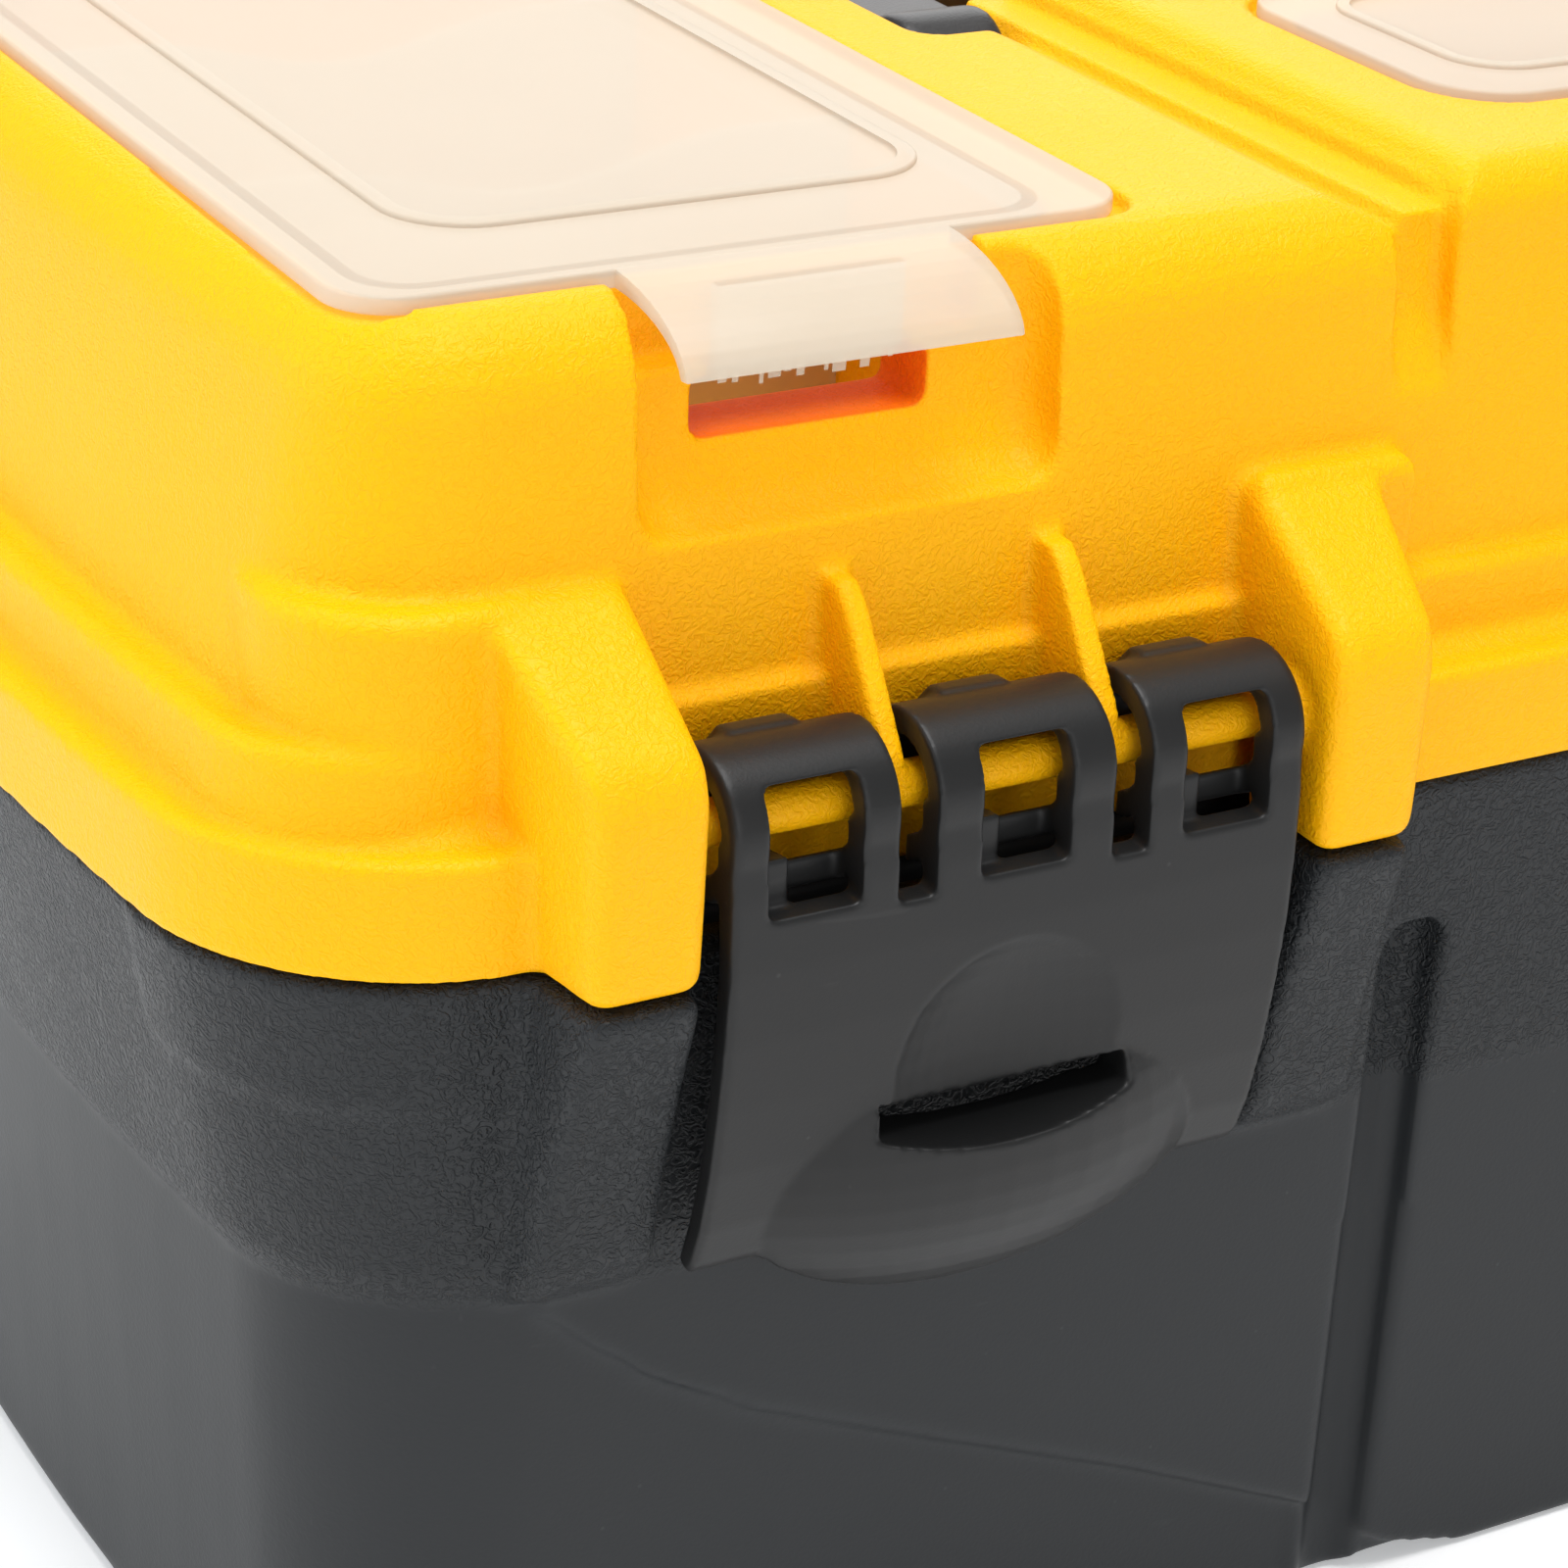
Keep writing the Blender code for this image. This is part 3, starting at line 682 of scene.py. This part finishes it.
def make_base():
    top = PARTING - GAP
    base = tub("base_body", (195, 85.6), (198, 87.0), (0, BAND_BOTTOM + 4), 20, bottom_round=3)
    add(base, tub("band", (199.6, 88.3), (205, 89.4), (BAND_BOTTOM, top), 23, bottom_round=4.5))
    add(base, make_apron())
    for side, name in SIDES:
        patch = tub(f"band_patch_{name}", (203.4, 89.6), (205.6, 90.0), (84.5, top), 23)
        corner = side_range(side, 174.5, 230)
        add(base, keep_within(patch, block(f"patch_area_{name}", corner, (-120, -62), (60, 120))))
    guard_front = ((-100.6, top), (-97.4, 88), (-94.4, 77), (-93.0, 68), (-90.8, 64.4))
    guard = ((-80, top), *guard_front, (-87, 63), (-80, 63))
    add(base, *pillars("guard", guard))
    for side, name in SIDES:
        latch_x = side * abs(BAR.x)
        catch = ((-86, 84), (-90.5, 84), (-92.6, 87), (-92.6, 88.5), (-86, 92))
        add(base, prism(f"catch_{name}", catch, (latch_x - 14, latch_x + 14)))
        for low, high in ((-16.5, -8.3), (8.3, 16.5)):
            x = (side * HINGE_X + low, side * HINGE_X + high)
            arm = ((85, 86), (93, 88), (102.6, 98), (102.6, 104), (92.4, 104), (92.4, top), (85, top))
            add(base, prism(f"base_arm_{name}_{high}", arm, x))
            add(base, rod(f"base_barrel_{name}_{high}", 5.5, x, HINGE.y, HINGE.z))
        rib = (side * HINGE_X - 6.5, side * HINGE_X + 6.5)
        add(base, prism(f"hinge_web_{name}", ((85, 72), (89.5, 74), (91.5, 92), (91.5, top), (85, top)), rib))
    cut(base, tub("cavity_low", (192, 82.6), (195, 83.4), (WALL, BAND_BOTTOM + 3), 17.5))
    cut(base, tub("cavity_top", (197, 85.2), (202, 86.6), (BAND_BOTTOM + 2, PARTING + 5), 21))
    for side, name in SIDES:
        ledge = side_range(side, 181, 194.5)
        add(base, block(f"ledge_{name}", ledge, (-40, 40), (46.7, 51.7), corner=1.5))
        bore = (side * HINGE_X - 20, side * HINGE_X + 20)
        cut(base, rod(f"base_bore_{name}", 1.95, bore, HINGE.y, HINGE.z))
        backing = side_range(side, 70.5, 81.5)
        add(base, block(f"groove_backing_{name}", backing, (-86, -81), (1, 85), corner=1.5))
        groove = side_range(side, 72.3, 79.3)
        cut(base, block(f"base_groove_{name}", groove, (-96, -84.6), (-5, 82), soften=2.2))
    base = moulded(base, "base_moulding", 0.8, 5, 190_000)
    return place_piece(base, "base", "charcoal", "base_shell")


# Lid


def scoop_profile():
    """The thumb hollow: an upright back, then a hollow curve out to the lip."""
    ramp = ((-74.6, 139.5), (-75.4, 136.2), (-77.2, 134.0), (-80, 132.6), (-84, 132.0))
    return ((-74.6, 172), *ramp, (-120, 132.0), (-120, 172))


def make_groove_shoulder(side, name):
    """What is taken off the end block where it rolls into the groove, along the top and down the front."""
    bm = bmesh.new()
    section = ((78.5, 150.5), (82.0, 152.6), (86.5, END_TOP + 0.2), (86.5, 175), (78.5, 175))
    face = bm.faces.new([bm.verts.new((side * x, -100, z)) for x, z in section])
    swept = bmesh.ops.extrude_face_region(bm, geom=[face])["geom"]
    moved = [item for item in swept if isinstance(item, bmesh.types.BMVert)]
    bmesh.ops.translate(bm, vec=(0, 200, 0), verts=moved)
    return form(bm, f"groove_shoulder_{name}")


def make_lid_outside():
    lid = tub("lid_body", (201, 83), (191, 79.5), (PARTING + 4, END_TOP), 13, top_round=7.5)
    add(lid, tub("rim", RIM_HALF, RIM_HALF, (PARTING, RIM_TOP), 24, top_round=0.9))
    add(lid, tub("rim_slope", (203.6, 87.4), (201.6, 84.6), (110.0, 111.6), 18))
    add(lid, tub("side_step", (202.6, 84.7), (202.0, 84.7), (PARTING + 4, 118.8), 14, top_round=1.4))
    for side, name in SIDES:
        groove = side_range(side, 73.5, 80)
        cut(lid, block(f"groove_top_{name}", groove, (-120, 120), (CENTRE_TOP - 4.5, 180)))
        floor = ((-85, 132.5), (-80.5, 136), (-77.6, 143), (-76.8, 150))
        valley = ((-120, 132.5), *floor, (-76.8, 180), (-120, 180))
        cut(lid, prism(f"groove_front_{name}", valley, groove))
        cut(lid, make_groove_shoulder(side, name))
        cut(lid, block(f"groove_rear_{name}", groove, (76.6, 120), (SHELF_TOP + 1, 180)))
        outer = side_range(side, 163, 193.2)
        inner = side_range(side, 79, 97)
        shelf_z = (PARTING + 4, SHELF_TOP)
        add(lid, block(f"shelf_outer_{name}", outer, (-84.6, -56), shelf_z, corner=14, top_round=1.8))
        add(lid, block(f"shelf_inner_{name}", inner, (-84.6, -60), shelf_z, top_round=1.8))
    post_front = ((-100, PARTING), (-100.6, 117), (-99.2, 120.8), (-82.5, SHELF_TOP))
    post = ((-72, PARTING), *post_front, (-72, SHELF_TOP))
    add(lid, *pillars("post", post, 2.0))
    for side, name in SIDES:
        recess = (side * abs(BAR.x) - POST_INNER, side * abs(BAR.x) + POST_INNER)
        cut(lid, block(f"recess_{name}", recess, (-120, -83.4), (PARTING - 5, 128)))
    add(lid, block("centre_block", (-73.5, 73.5), (-80, 80), (PARTING + 8, CENTRE_TOP), top_round=5))
    return lid


def cut_lid_inside(lid):
    """The underside, the bins and their seats, the handle's well and the thumb hollows."""
    cut(lid, tub("under_rim", (203, 87.4), (203, 87.4), (PARTING - 5, 107), 21))
    cut(lid, tub("underside", (197.3, 79.3), (197.3, 79.3), (PARTING + 2, 112), 17))
    for side, name in SIDES:
        latch_x = side * abs(BAR.x)
        skirt_x = (latch_x - POST_INNER - 4, latch_x + POST_INNER + 4)
        add(lid, block(f"skirt_{name}", skirt_x, (-84, -81), (PARTING, 109)))
        low, high = mm_box(f"end_organiser_lid_{name}")
        seat_x = (low.x - 0.7, high.x + 0.7)
        seat_y = (END_FRONT - 0.7, high.y + 0.7)
        cut(lid, block(f"end_seat_{name}", seat_x, seat_y, (END_TOP - 1.6, 170), corner=5))
        bin_x = (low.x + 4, high.x - 4)
        cut(lid, block(f"end_bin_{name}", bin_x, (-66, 66), (114.5, 170), corner=6, bottom_round=2.5))
        cut(lid, prism(f"scoop_{name}", scoop_profile(), side_range(side, 117.6, 160.4), 3.6, 5))
        tab_x = side_range(side, 123.4, 160.2)
        cut(lid, block(f"tab_sill_{name}", tab_x, (-120, END_FRONT + 1), (146.6, 170)))
        cut(lid, block(f"catch_hole_{name}", side_range(side, 128.5, 152.5), (-90, -60), (139.6, 145.2)))
        notch = side_range(side, 130.2, 150.8)
        cut(lid, block(f"catch_notch_{name}", notch, (-90, -72.0), (144, 150)))
        pocket = side_range(side, 79.6, 94)
        cut(lid, block(f"arm_pocket_{name}", pocket, (-13.5, 42), (136, 180), corner=4))
        under = side_range(side, 1.5, 97)
        cut(lid, block(f"under_well_{name}", under, (-13, 40), (PARTING, 133.5)))
    cut(lid, block("handle_well", (-84, 84), (4, 42), (136, 180), bottom_round=4))
    cut(lid, block("under_front", (-71, 71), (-12, 1.5), (132, 153.5)))
    for place in ("front", "rear"):
        low, high = mm_box(f"centre_organiser_lid_{place}")
        seat_x, seat_y = (low.x - 0.7, high.x + 0.7), (low.y - 0.7, high.y + 0.7)
        cut(lid, block(f"centre_seat_{place}", seat_x, seat_y, (CENTRE_TOP - 1.6, 170), corner=9.5))
        bin_x, bin_y = (low.x + 4, high.x - 4), (low.y + 4, high.y - 3)
        cut(lid, block(f"centre_bin_{place}", bin_x, bin_y, (114.5, 170), corner=7, bottom_round=2.5))


def add_lid_details(lid):
    """Latch bars on their gussets, hinge knuckles, and the bores of the pins."""
    for side, name in SIDES:
        latch_x = side * abs(BAR.x)
        span = (latch_x - POST_INNER - 2, latch_x + POST_INNER + 2)
        add(lid, rod(f"bar_{name}", 2.2, span, BAR.y, BAR.z))
        for offset in (-11.25, 11.25):
            x = latch_x + offset
            gusset_front = ((-84.2, 128), (-86, 126.4), (-94, 114.6), (-94.2, 110), (-91.5, 108.6))
            gusset = ((-78, 128), *gusset_front, (-78, 108.6))
            add(lid, prism(f"gusset_{name}_{offset:.0f}", gusset, (x - 1.3, x + 1.3)))
        for end in (-1, 1):
            boss = (latch_x + end * 30.6, latch_x + end * 34)
            add(lid, rod(f"bar_boss_{name}_{end}", 3.6, (min(boss), max(boss)), BAR.y, BAR.z))
        x = (side * HINGE_X - 8, side * HINGE_X + 8)
        arm = ((84, 109), (94, 109.5), (99, 106), (97, 100.4), (84, 100.4))
        add(lid, prism(f"lid_arm_{name}", arm, x))
        add(lid, rod(f"lid_barrel_{name}", 5.5, x, HINGE.y, HINGE.z))
        cut(lid, rod(f"lid_bore_{name}", 1.95, (x[0] - 5, x[1] + 5), HINGE.y, HINGE.z))
        cut(lid, rod(f"handle_bore_{name}", 2.85, side_range(side, 76, 97.5), FOLD.y, FOLD.z))


def make_lid():
    lid = make_lid_outside()
    cut_lid_inside(lid)
    add_lid_details(lid)
    lid = moulded(lid, "lid_moulding", 0.6, 3, 198_000)
    return place_piece(lid, "lid", "yellow", "lid_shell")


# Latches


SLOT_Z = (76.8, 80.2)


def smile(x):
    """How far the pull's slot rises from its middle out to x."""
    return 1.7 * (x / 13.3) ** 2


def smile_mesh(half, y, z, shift):
    """A block along the slot's curve, shift being the latch's middle."""
    bm = block_mesh((-half, half), y, z)
    for step in range(-10, 11):
        everything = bm.verts[:] + bm.edges[:] + bm.faces[:]
        bmesh.ops.bisect_plane(bm, geom=everything, plane_co=(step * half / 11, 0, 0), plane_no=(1, 0, 0))
    for vert in bm.verts:
        vert.co.z += smile(vert.co.x)
    bmesh.ops.translate(bm, vec=(shift, 0, 0), verts=bm.verts)
    return bm


def flap_profile():
    """The flap's section: a crease under the windows, a slight bulge, then a curve in to its lower edge."""
    outer_top = ((-98.6, 113), (-99.4, 106), (-99.6, 99), (-99.3, 92), (-98.6, 85))
    outer_low = ((-97.6, 78), (-96.2, 71.5), (-94.6, 67), (-93.2, 65.4))
    inner_low = ((-91.4, 66.2), (-93.2, 71.5), (-94.8, 78), (-95.8, 85))
    inner_top = ((-96.5, 92), (-96.8, 99), (-96.2, 106), (-95.6, 111))
    return outer_top + outer_low + inner_low + inner_top


def make_latch(side, name):
    x = side * abs(BAR.x)
    span = (x - LATCH_HALF, x + LATCH_HALF)
    latch = rod(f"latch_{name}_body", 7.2, span, BAR.y, BAR.z, sides=64, chamfer=0.7)
    cut(latch, rod(f"latch_hollow_{name}", 4.6, (span[0] - 2, span[1] + 2), BAR.y, BAR.z))
    cut(latch, block(f"latch_mouth_{name}", (span[0] - 2, span[1] + 2), (BAR.y - 1.2, -80), (95, BAR.z - 1)))
    add(latch, prism(f"flap_{name}", flap_profile(), span, 0.5, 2))
    dome = egg(f"dome_{name}", (x, -83.0, 74), (33, 18.6, 19.5))
    cut(dome, block(f"dome_back_{name}", (x - 40, x + 40), (-93.8, -40), (40, 120)))
    add(latch, dome)
    backing = egg(f"dish_backing_{name}", (x, -94.2, 86), (14.5, 3.6, 13.5))
    cut(backing, block(f"backing_front_{name}", (x - 40, x + 40), (-120, -96.2), (40, 120)))
    cut(backing, block(f"backing_back_{name}", (x - 40, x + 40), (-93.3, -60), (40, 120)))
    add(latch, backing)
    dish = egg(f"dish_{name}", (x, -104.6, 80), (18.6, 8.4, 21.5))
    cut(dish, form(smile_mesh(30, (-130, -60), (30, SLOT_Z[0]), x), f"lip_guard_{name}"))
    cut(latch, dish)
    for (_, left), (right, _) in zip(KNUCKLES, KNUCKLES[1:]):
        cut(latch, block(f"slot_{name}_{left}", (x + left, x + right), (-120, -75), (103.2, 140)))
    for low, high in KNUCKLES:
        middle = x + (low + high) / 2
        window_x = (middle - 4.7, middle + 4.7)
        cut(latch, block(f"window_{name}_{low}", window_x, (-110, -94.6), (104, 116), soften=0.7))
    cut(latch, form(smile_mesh(13.3, (-120, -70), SLOT_Z, x), f"smile_{name}"))
    for low, high in KNUCKLES:
        middle = x + (low + high) / 2
        heel = [
            (BAR.y + behind, height)
            for behind, height in (
                (1.0, 115.8),
                (2.0, 118.3),
                (4.6, 118.0),
                (6.8, 115.6),
                (6.8, 112.0),
                (4.4, 112.0),
            )
        ]
        add(latch, prism(f"heel_{name}_{low}", heel, (middle - 4.4, middle + 2.8), 0.4, 2))
        hook = [
            (BAR.y - ahead, height)
            for ahead, height in ((4.8, 108.6), (1.0, 107.9), (1.0, 105.8), (2.4, 104.6), (4.8, 103.0))
        ]
        add(latch, prism(f"hook_{name}_{low}", hook, (middle - 4.8, middle - 1.4), 0.3, 2))
    latch = moulded(latch, f"latch_{name}_moulding", 0.32, 4, 110_000)
    return place_piece(latch, f"latch_{name}", "latch_black", f"latch_{name}")


# Organiser lids

END_FRONT = -71.3
PLATE = 1.8


def rounded_plate(x, y, z, corner, edge):
    """A plate with round corners whose rims are broken by a small edge radius."""
    bm = block_mesh(x, y, z, corner=corner, segments=12)
    for level in z:
        on_level = level_with(level)
        bevel(bm, [e for e in bm.edges if on_level(e)], edge, 3)
    return bm


def tab_section(front, top):
    """The thumb tab: the plate runs out and curls down to a fine lip."""
    reach, drop, steps = 14.0, 6.6, 9
    outer, inner = [], []
    for step in range(steps + 1):
        angle = math.radians(84 * step / steps)
        outer.append((front - reach * math.sin(angle), top - drop * (1 - math.cos(angle))))
        thin = PLATE - 0.5 * step / steps
        under = top - thin - (drop - thin) * (1 - math.cos(angle))
        inner.append((front - (reach - thin) * math.sin(angle), under))
    return [(front + 4, top)] + outer + inner[::-1] + [(front + 4, top - PLATE)]


def make_end_lid(side, name):
    low, high = mm_box(f"end_organiser_lid_{name}")
    top = high.z - 0.5
    x, y = (low.x, high.x), (END_FRONT, high.y)
    lid = form(rounded_plate(x, y, (top - PLATE, top), 6.5, 0.35), f"end_plate_{name}")
    panel_x = side_range(side, 116.5, 171.5)
    add(lid, form(rounded_plate(panel_x, (-57, 58), (top - 1, top + 0.5), 8.5, 0.3), f"end_panel_{name}"))
    dip_x = (panel_x[0] + 1.8, panel_x[1] - 1.8)
    cut(lid, form(rounded_plate(dip_x, (-55.2, 56.2), (top - 0.1, top + 3), 7, 0.3), f"end_dip_{name}"))
    skirt_x = (low.x + 4.6, high.x - 4.6)
    inner_x = (low.x + 6.0, high.x - 6.0)
    ring = block(f"end_ring_{name}", skirt_x, (-65.2, 65.2), (top - 4.2, top - 1), corner=6)
    cut(ring, block(f"end_ring_hole_{name}", inner_x, (-63.8, 63.8), (top - 9, top + 5), corner=5))
    add(lid, ring)
    tab_x = side_range(side, 125.0, 158.8)
    add(lid, prism(f"end_tab_{name}", tab_section(END_FRONT, top), tab_x, 0.25, 2))
    catch_x = side_range(side, 131.0, 150.0)
    near, far = END_FRONT - 2.6, END_FRONT - 1.4
    catch = ((near, top - 1), (far, top - 1), (far, 145.0), (near, 145.4))
    add(lid, prism(f"end_catch_{name}", catch, catch_x))
    for number in range(14):
        tooth_x = catch_x[0] + 0.9 + number * (catch_x[1] - catch_x[0] - 1.8) / 13
        fall = 0.9 + 0.6 * math.sin(number * 2.4) + 0.3 * math.sin(number * 5.1)
        half = 0.45 + 0.25 * math.sin(number * 3.7)
        sliver = ((END_FRONT - 2.6, 145.8), (END_FRONT - 2.1, 145.8), (END_FRONT - 2.3, 145.0 - fall))
        add(lid, prism(f"flash_{name}_{number}", sliver, (tooth_x - half, tooth_x + half)))
    lid = settled(lid, f"end_lid_{name}_clear")
    lid.data.shade_smooth()
    lid.data.set_sharp_from_angle(angle=math.radians(35))
    return place_piece(lid, f"end_lid_{name}", "milky", f"end_organiser_lid_{name}")


def make_centre_lid(place):
    low, high = mm_box(f"centre_organiser_lid_{place}")
    top = high.z - 0.5
    plate = rounded_plate((low.x, high.x), (low.y, high.y), (top - PLATE, top), 9, 0.35)
    lid = form(plate, f"centre_plate_{place}")
    inset = 6.5
    panel_x, panel_y = (low.x + inset, high.x - inset), (low.y + inset, high.y - inset)
    corner = min(7.0, (panel_y[1] - panel_y[0]) / 2 - 0.6)
    panel = rounded_plate(panel_x, panel_y, (top - 1, top + 0.5), corner, 0.3)
    add(lid, form(panel, f"centre_panel_{place}"))
    dip_x, dip_y = (panel_x[0] + 1.4, panel_x[1] - 1.4), (panel_y[0] + 1.4, panel_y[1] - 1.4)
    dip = rounded_plate(dip_x, dip_y, (top - 0.1, top + 3), corner - 1.4, 0.3)
    cut(lid, form(dip, f"centre_dip_{place}"))
    lid = settled(lid, f"centre_lid_{place}_clear")
    lid.data.shade_smooth()
    lid.data.set_sharp_from_angle(angle=math.radians(35))
    return place_piece(lid, f"centre_lid_{place}", "milky", f"centre_organiser_lid_{place}")


# Handle


def make_handle():
    low, high = mm_box("carry_handle")
    grip_y = high.y - 8.0
    grip_x = (low.x, high.x)
    handle = block("handle_grip", grip_x, (grip_y - 8, grip_y + 8), (138.2, high.z), soften=4.2)
    cut(handle, block("grip_hollow", (-70, 70), (grip_y - 4, grip_y + 4), (130, 141), soften=1.0))
    for x in range(-60, 61, 12):
        cut(handle, rod(f"grip_groove_{x}", 0.9, (x - 1, x + 1), grip_y + 8.2, 146, sides=16))
    for side, name in SIDES:
        arm = side_range(side, 80.6, high.x)
        arm_z = (FOLD.z - 5.5, FOLD.z + 5.5)
        add(handle, block(f"handle_arm_{name}", arm, (FOLD.y, grip_y), arm_z, soften=1.2))
        add(handle, rod(f"handle_eye_{name}", 7.0, arm, FOLD.y, FOLD.z, chamfer=1.0))
        cut(handle, rod(f"handle_hole_{name}", 2.85, (arm[0] - 3, arm[1] + 3), FOLD.y, FOLD.z))
    handle = moulded(handle, "handle_moulding", 0.6, 4, 60_000)
    return place_piece(handle, "handle", "handle_black", "carry_handle")


def make_pins():
    """Drawn pins with chamfered ends, two in the rear hinge and two in the handle."""
    for name, radius in (("hinge_pin", 1.6), ("handle_pin", 2.5)):
        body = "base" if name == "hinge_pin" else "lid"
        for _, side_name in SIDES:
            low, high = mm_box(f"{name}_{side_name}")
            y, z = (low.y + high.y) / 2, (low.z + high.z) / 2
            turned = rod_mesh(radius, (low.x, high.x), y, z, chamfer=0.4)
            pin = piece_from(turned, f"{name}_{side_name}_turned")
            place_piece(pin, body, "steel", f"{name}_{side_name}")


# Tray


def make_tray():
    low, high = mm_box("tray")
    half = (high.x, high.y)
    top, floor = high.z, low.z + 2.0
    tray = tub("tray_body", (184, 77), (188, 79), (low.z, top), 16, bottom_round=3)
    add(tray, tub("tray_rim", half, half, (top - 3, top), 17, top_round=0.8))
    for side, place in ((-1, "front"), (1, "rear")):
        y = (11, half[1] - 5) if side > 0 else (-half[1] + 5, -11)
        cut(tray, block(f"row_{place}", (-175, 175), y, (floor, top + 5), corner=11, bottom_round=4))
        for x in range(-140, 141, 35):
            for offset in (-2.2, 2.2):
                for wall in (y[0], y[1]):
                    rib_y = (wall - 0.9, wall + 0.9)
                    rib = (x + offset - 0.7, x + offset + 0.7)
                    add(tray, block(f"rib_{place}_{x}_{offset}_{wall}", rib, rib_y, (floor - 0.5, top - 4)))
    tray = moulded(tray, "tray_moulding", 1.0, 3, 120_000)
    return place_piece(tray, "tray", "tray_grey", "tray")


def make_tray_grip():
    low, high = mm_box("tray_handle")
    grip = block("tray_arch", (low.x + 4, high.x - 4), (-7, 7), (low.z, high.z), soften=2.2)
    cut(grip, block("tray_arch_hole", (-48, 48), (-20, 20), (low.z - 3, high.z - 5), soften=2.0))
    for leg in (-1, 1):
        foot = (leg * 53 - 9, leg * 53 + 9)
        add(grip, block(f"tray_foot_{leg}", foot, (-9, 9), (low.z, low.z + 2.7), soften=0.8))
    grip = moulded(grip, "tray_grip_moulding", 0.5, 4, 50_000)
    return place_piece(grip, "tray", "handle_black", "tray_handle")


def make_divider(node_name, body, slot):
    """A thin plate with rounded corners and a shallow finger dip in the middle."""
    low, high = mm_box(node_name)
    along = 0 if high.x - low.x > high.y - low.y else 1
    length = (high[along] - low[along]) / 2
    thickness = high[1 - along] - low[1 - along]
    bm = block_mesh((-length, length), (-thickness / 2 + 0.25, thickness / 2 - 0.25), (low.z, high.z))
    for step in range(-8, 9):
        everything = bm.verts[:] + bm.edges[:] + bm.faces[:]
        bmesh.ops.bisect_plane(bm, geom=everything, plane_co=(step * length / 9, 0, 0), plane_no=(1, 0, 0))
    for vert in bm.verts:
        if vert.co.z > high.z - 1:
            vert.co.z -= 4.0 * max(0.0, math.cos(vert.co.x / length * math.pi * 0.75)) ** 2
    bevel(bm, [e for e in bm.edges if len(e.link_faces) == 2 and e.calc_face_angle() > 0.9], 0.22, 2)
    turn = 0 if along == 0 else math.pi / 2
    bmesh.ops.rotate(bm, cent=(0, 0, 0), matrix=Matrix.Rotation(turn, 3, "Z"), verts=bm.verts)
    middle = ((low.x + high.x) / 2, (low.y + high.y) / 2, 0)
    bmesh.ops.translate(bm, vec=middle, verts=bm.verts)
    divider = piece_from(bm, node_name + "_plate")
    return place_piece(divider, body, slot, node_name)


def make_dividers():
    for number in (1, 2, 3):
        make_divider(f"tray_divider_{number}", "tray", "latch_black")
    for place in ("front", "rear"):
        make_divider(f"centre_divider_{place}", "lid", "milky")
        for _, side_name in SIDES:
            make_divider(f"end_divider_{side_name}_{place}", "lid", "milky")


# Studio


def white_matter(name, shade):
    made = bpy.data.materials.new(name)
    made.use_nodes = True
    shader = made.node_tree.nodes["Principled BSDF"]
    shader.inputs["Base Color"].default_value = (shade, shade, shade, 1.0)
    shader.inputs["Roughness"].default_value = 0.9
    return made


def make_floor():
    bm = bmesh.new()
    bmesh.ops.create_grid(bm, x_segments=1, y_segments=1, size=6000.0)
    floor = piece_from(bm, "floor")
    paper = white_matter("paper", 0.92)
    shader = paper.node_tree.nodes["Principled BSDF"]
    shader.inputs["Emission Color"].default_value = (0.96, 0.98, 1.0, 1.0)
    shader.inputs["Emission Strength"].default_value = 0.3
    floor.data.materials.append(paper)


def make_softbox(name, place, size, power, colour=(1, 1, 1)):
    """A square softbox aimed at the middle of the box."""
    light = bpy.data.lights.new(name, "AREA")
    light.shape = "SQUARE"
    light.size = size
    light.energy = power
    light.color = colour
    obj = bpy.data.objects.new(name, light)
    bpy.context.scene.collection.objects.link(obj)
    obj.location = place
    aim = Vector((-0.08, 0, 0.08)) - Vector(place)
    obj.rotation_euler = aim.to_track_quat("-Z", "Y").to_euler()


def make_studio():
    make_floor()
    world = bpy.data.worlds.new("studio")
    bpy.context.scene.world = world
    world.use_nodes = True
    world.node_tree.nodes["Background"].inputs["Color"].default_value = (1, 1, 1, 1)
    world.node_tree.nodes["Background"].inputs["Strength"].default_value = 0.42
    make_softbox("overhead", (-0.1, -0.15, 1.5), 0.9, 22.0)
    make_softbox("behind", (0.55, 1.3, 0.9), 1.2, 8.0)
    make_softbox("left", (-1.3, 0.35, 0.6), 1.1, 9.0, (0.90, 0.95, 1.0))
    make_softbox("front_fill", (-0.3, -1.6, 0.6), 1.0, 6.0)
    bpy.context.scene.view_settings.view_transform = "Standard"


CAMERA_PLACE = Vector((-0.31551, -0.37866, 0.27154))
CAMERA_YAW = 29.8
CAMERA_PITCH = 25.6
CAMERA_ROLL = 2.75
CAMERA_LENS = 95.6


def make_camera():
    camera = bpy.data.cameras.new("camera")
    camera.lens = CAMERA_LENS
    camera.sensor_width = 36.0
    camera.clip_start = 0.01
    obj = bpy.data.objects.new("camera", camera)
    bpy.context.scene.collection.objects.link(obj)
    upright_turn = Matrix.Rotation(math.radians(90 - CAMERA_PITCH), 4, "X")
    heading = Matrix.Rotation(math.radians(-CAMERA_YAW), 4, "Z")
    roll = Matrix.Rotation(math.radians(CAMERA_ROLL), 4, "Z")
    obj.matrix_world = Matrix.Translation(CAMERA_PLACE) @ heading @ upright_turn @ roll
    bpy.context.scene.camera = obj


make_camera()
make_studio()
make_base()
make_lid()
for latch_side, latch_name in SIDES:
    make_latch(latch_side, latch_name)
    make_end_lid(latch_side, latch_name)
for lid_place in ("front", "rear"):
    make_centre_lid(lid_place)
make_handle()
make_pins()
make_tray()
make_tray_grip()
make_dividers()
clear_forms()
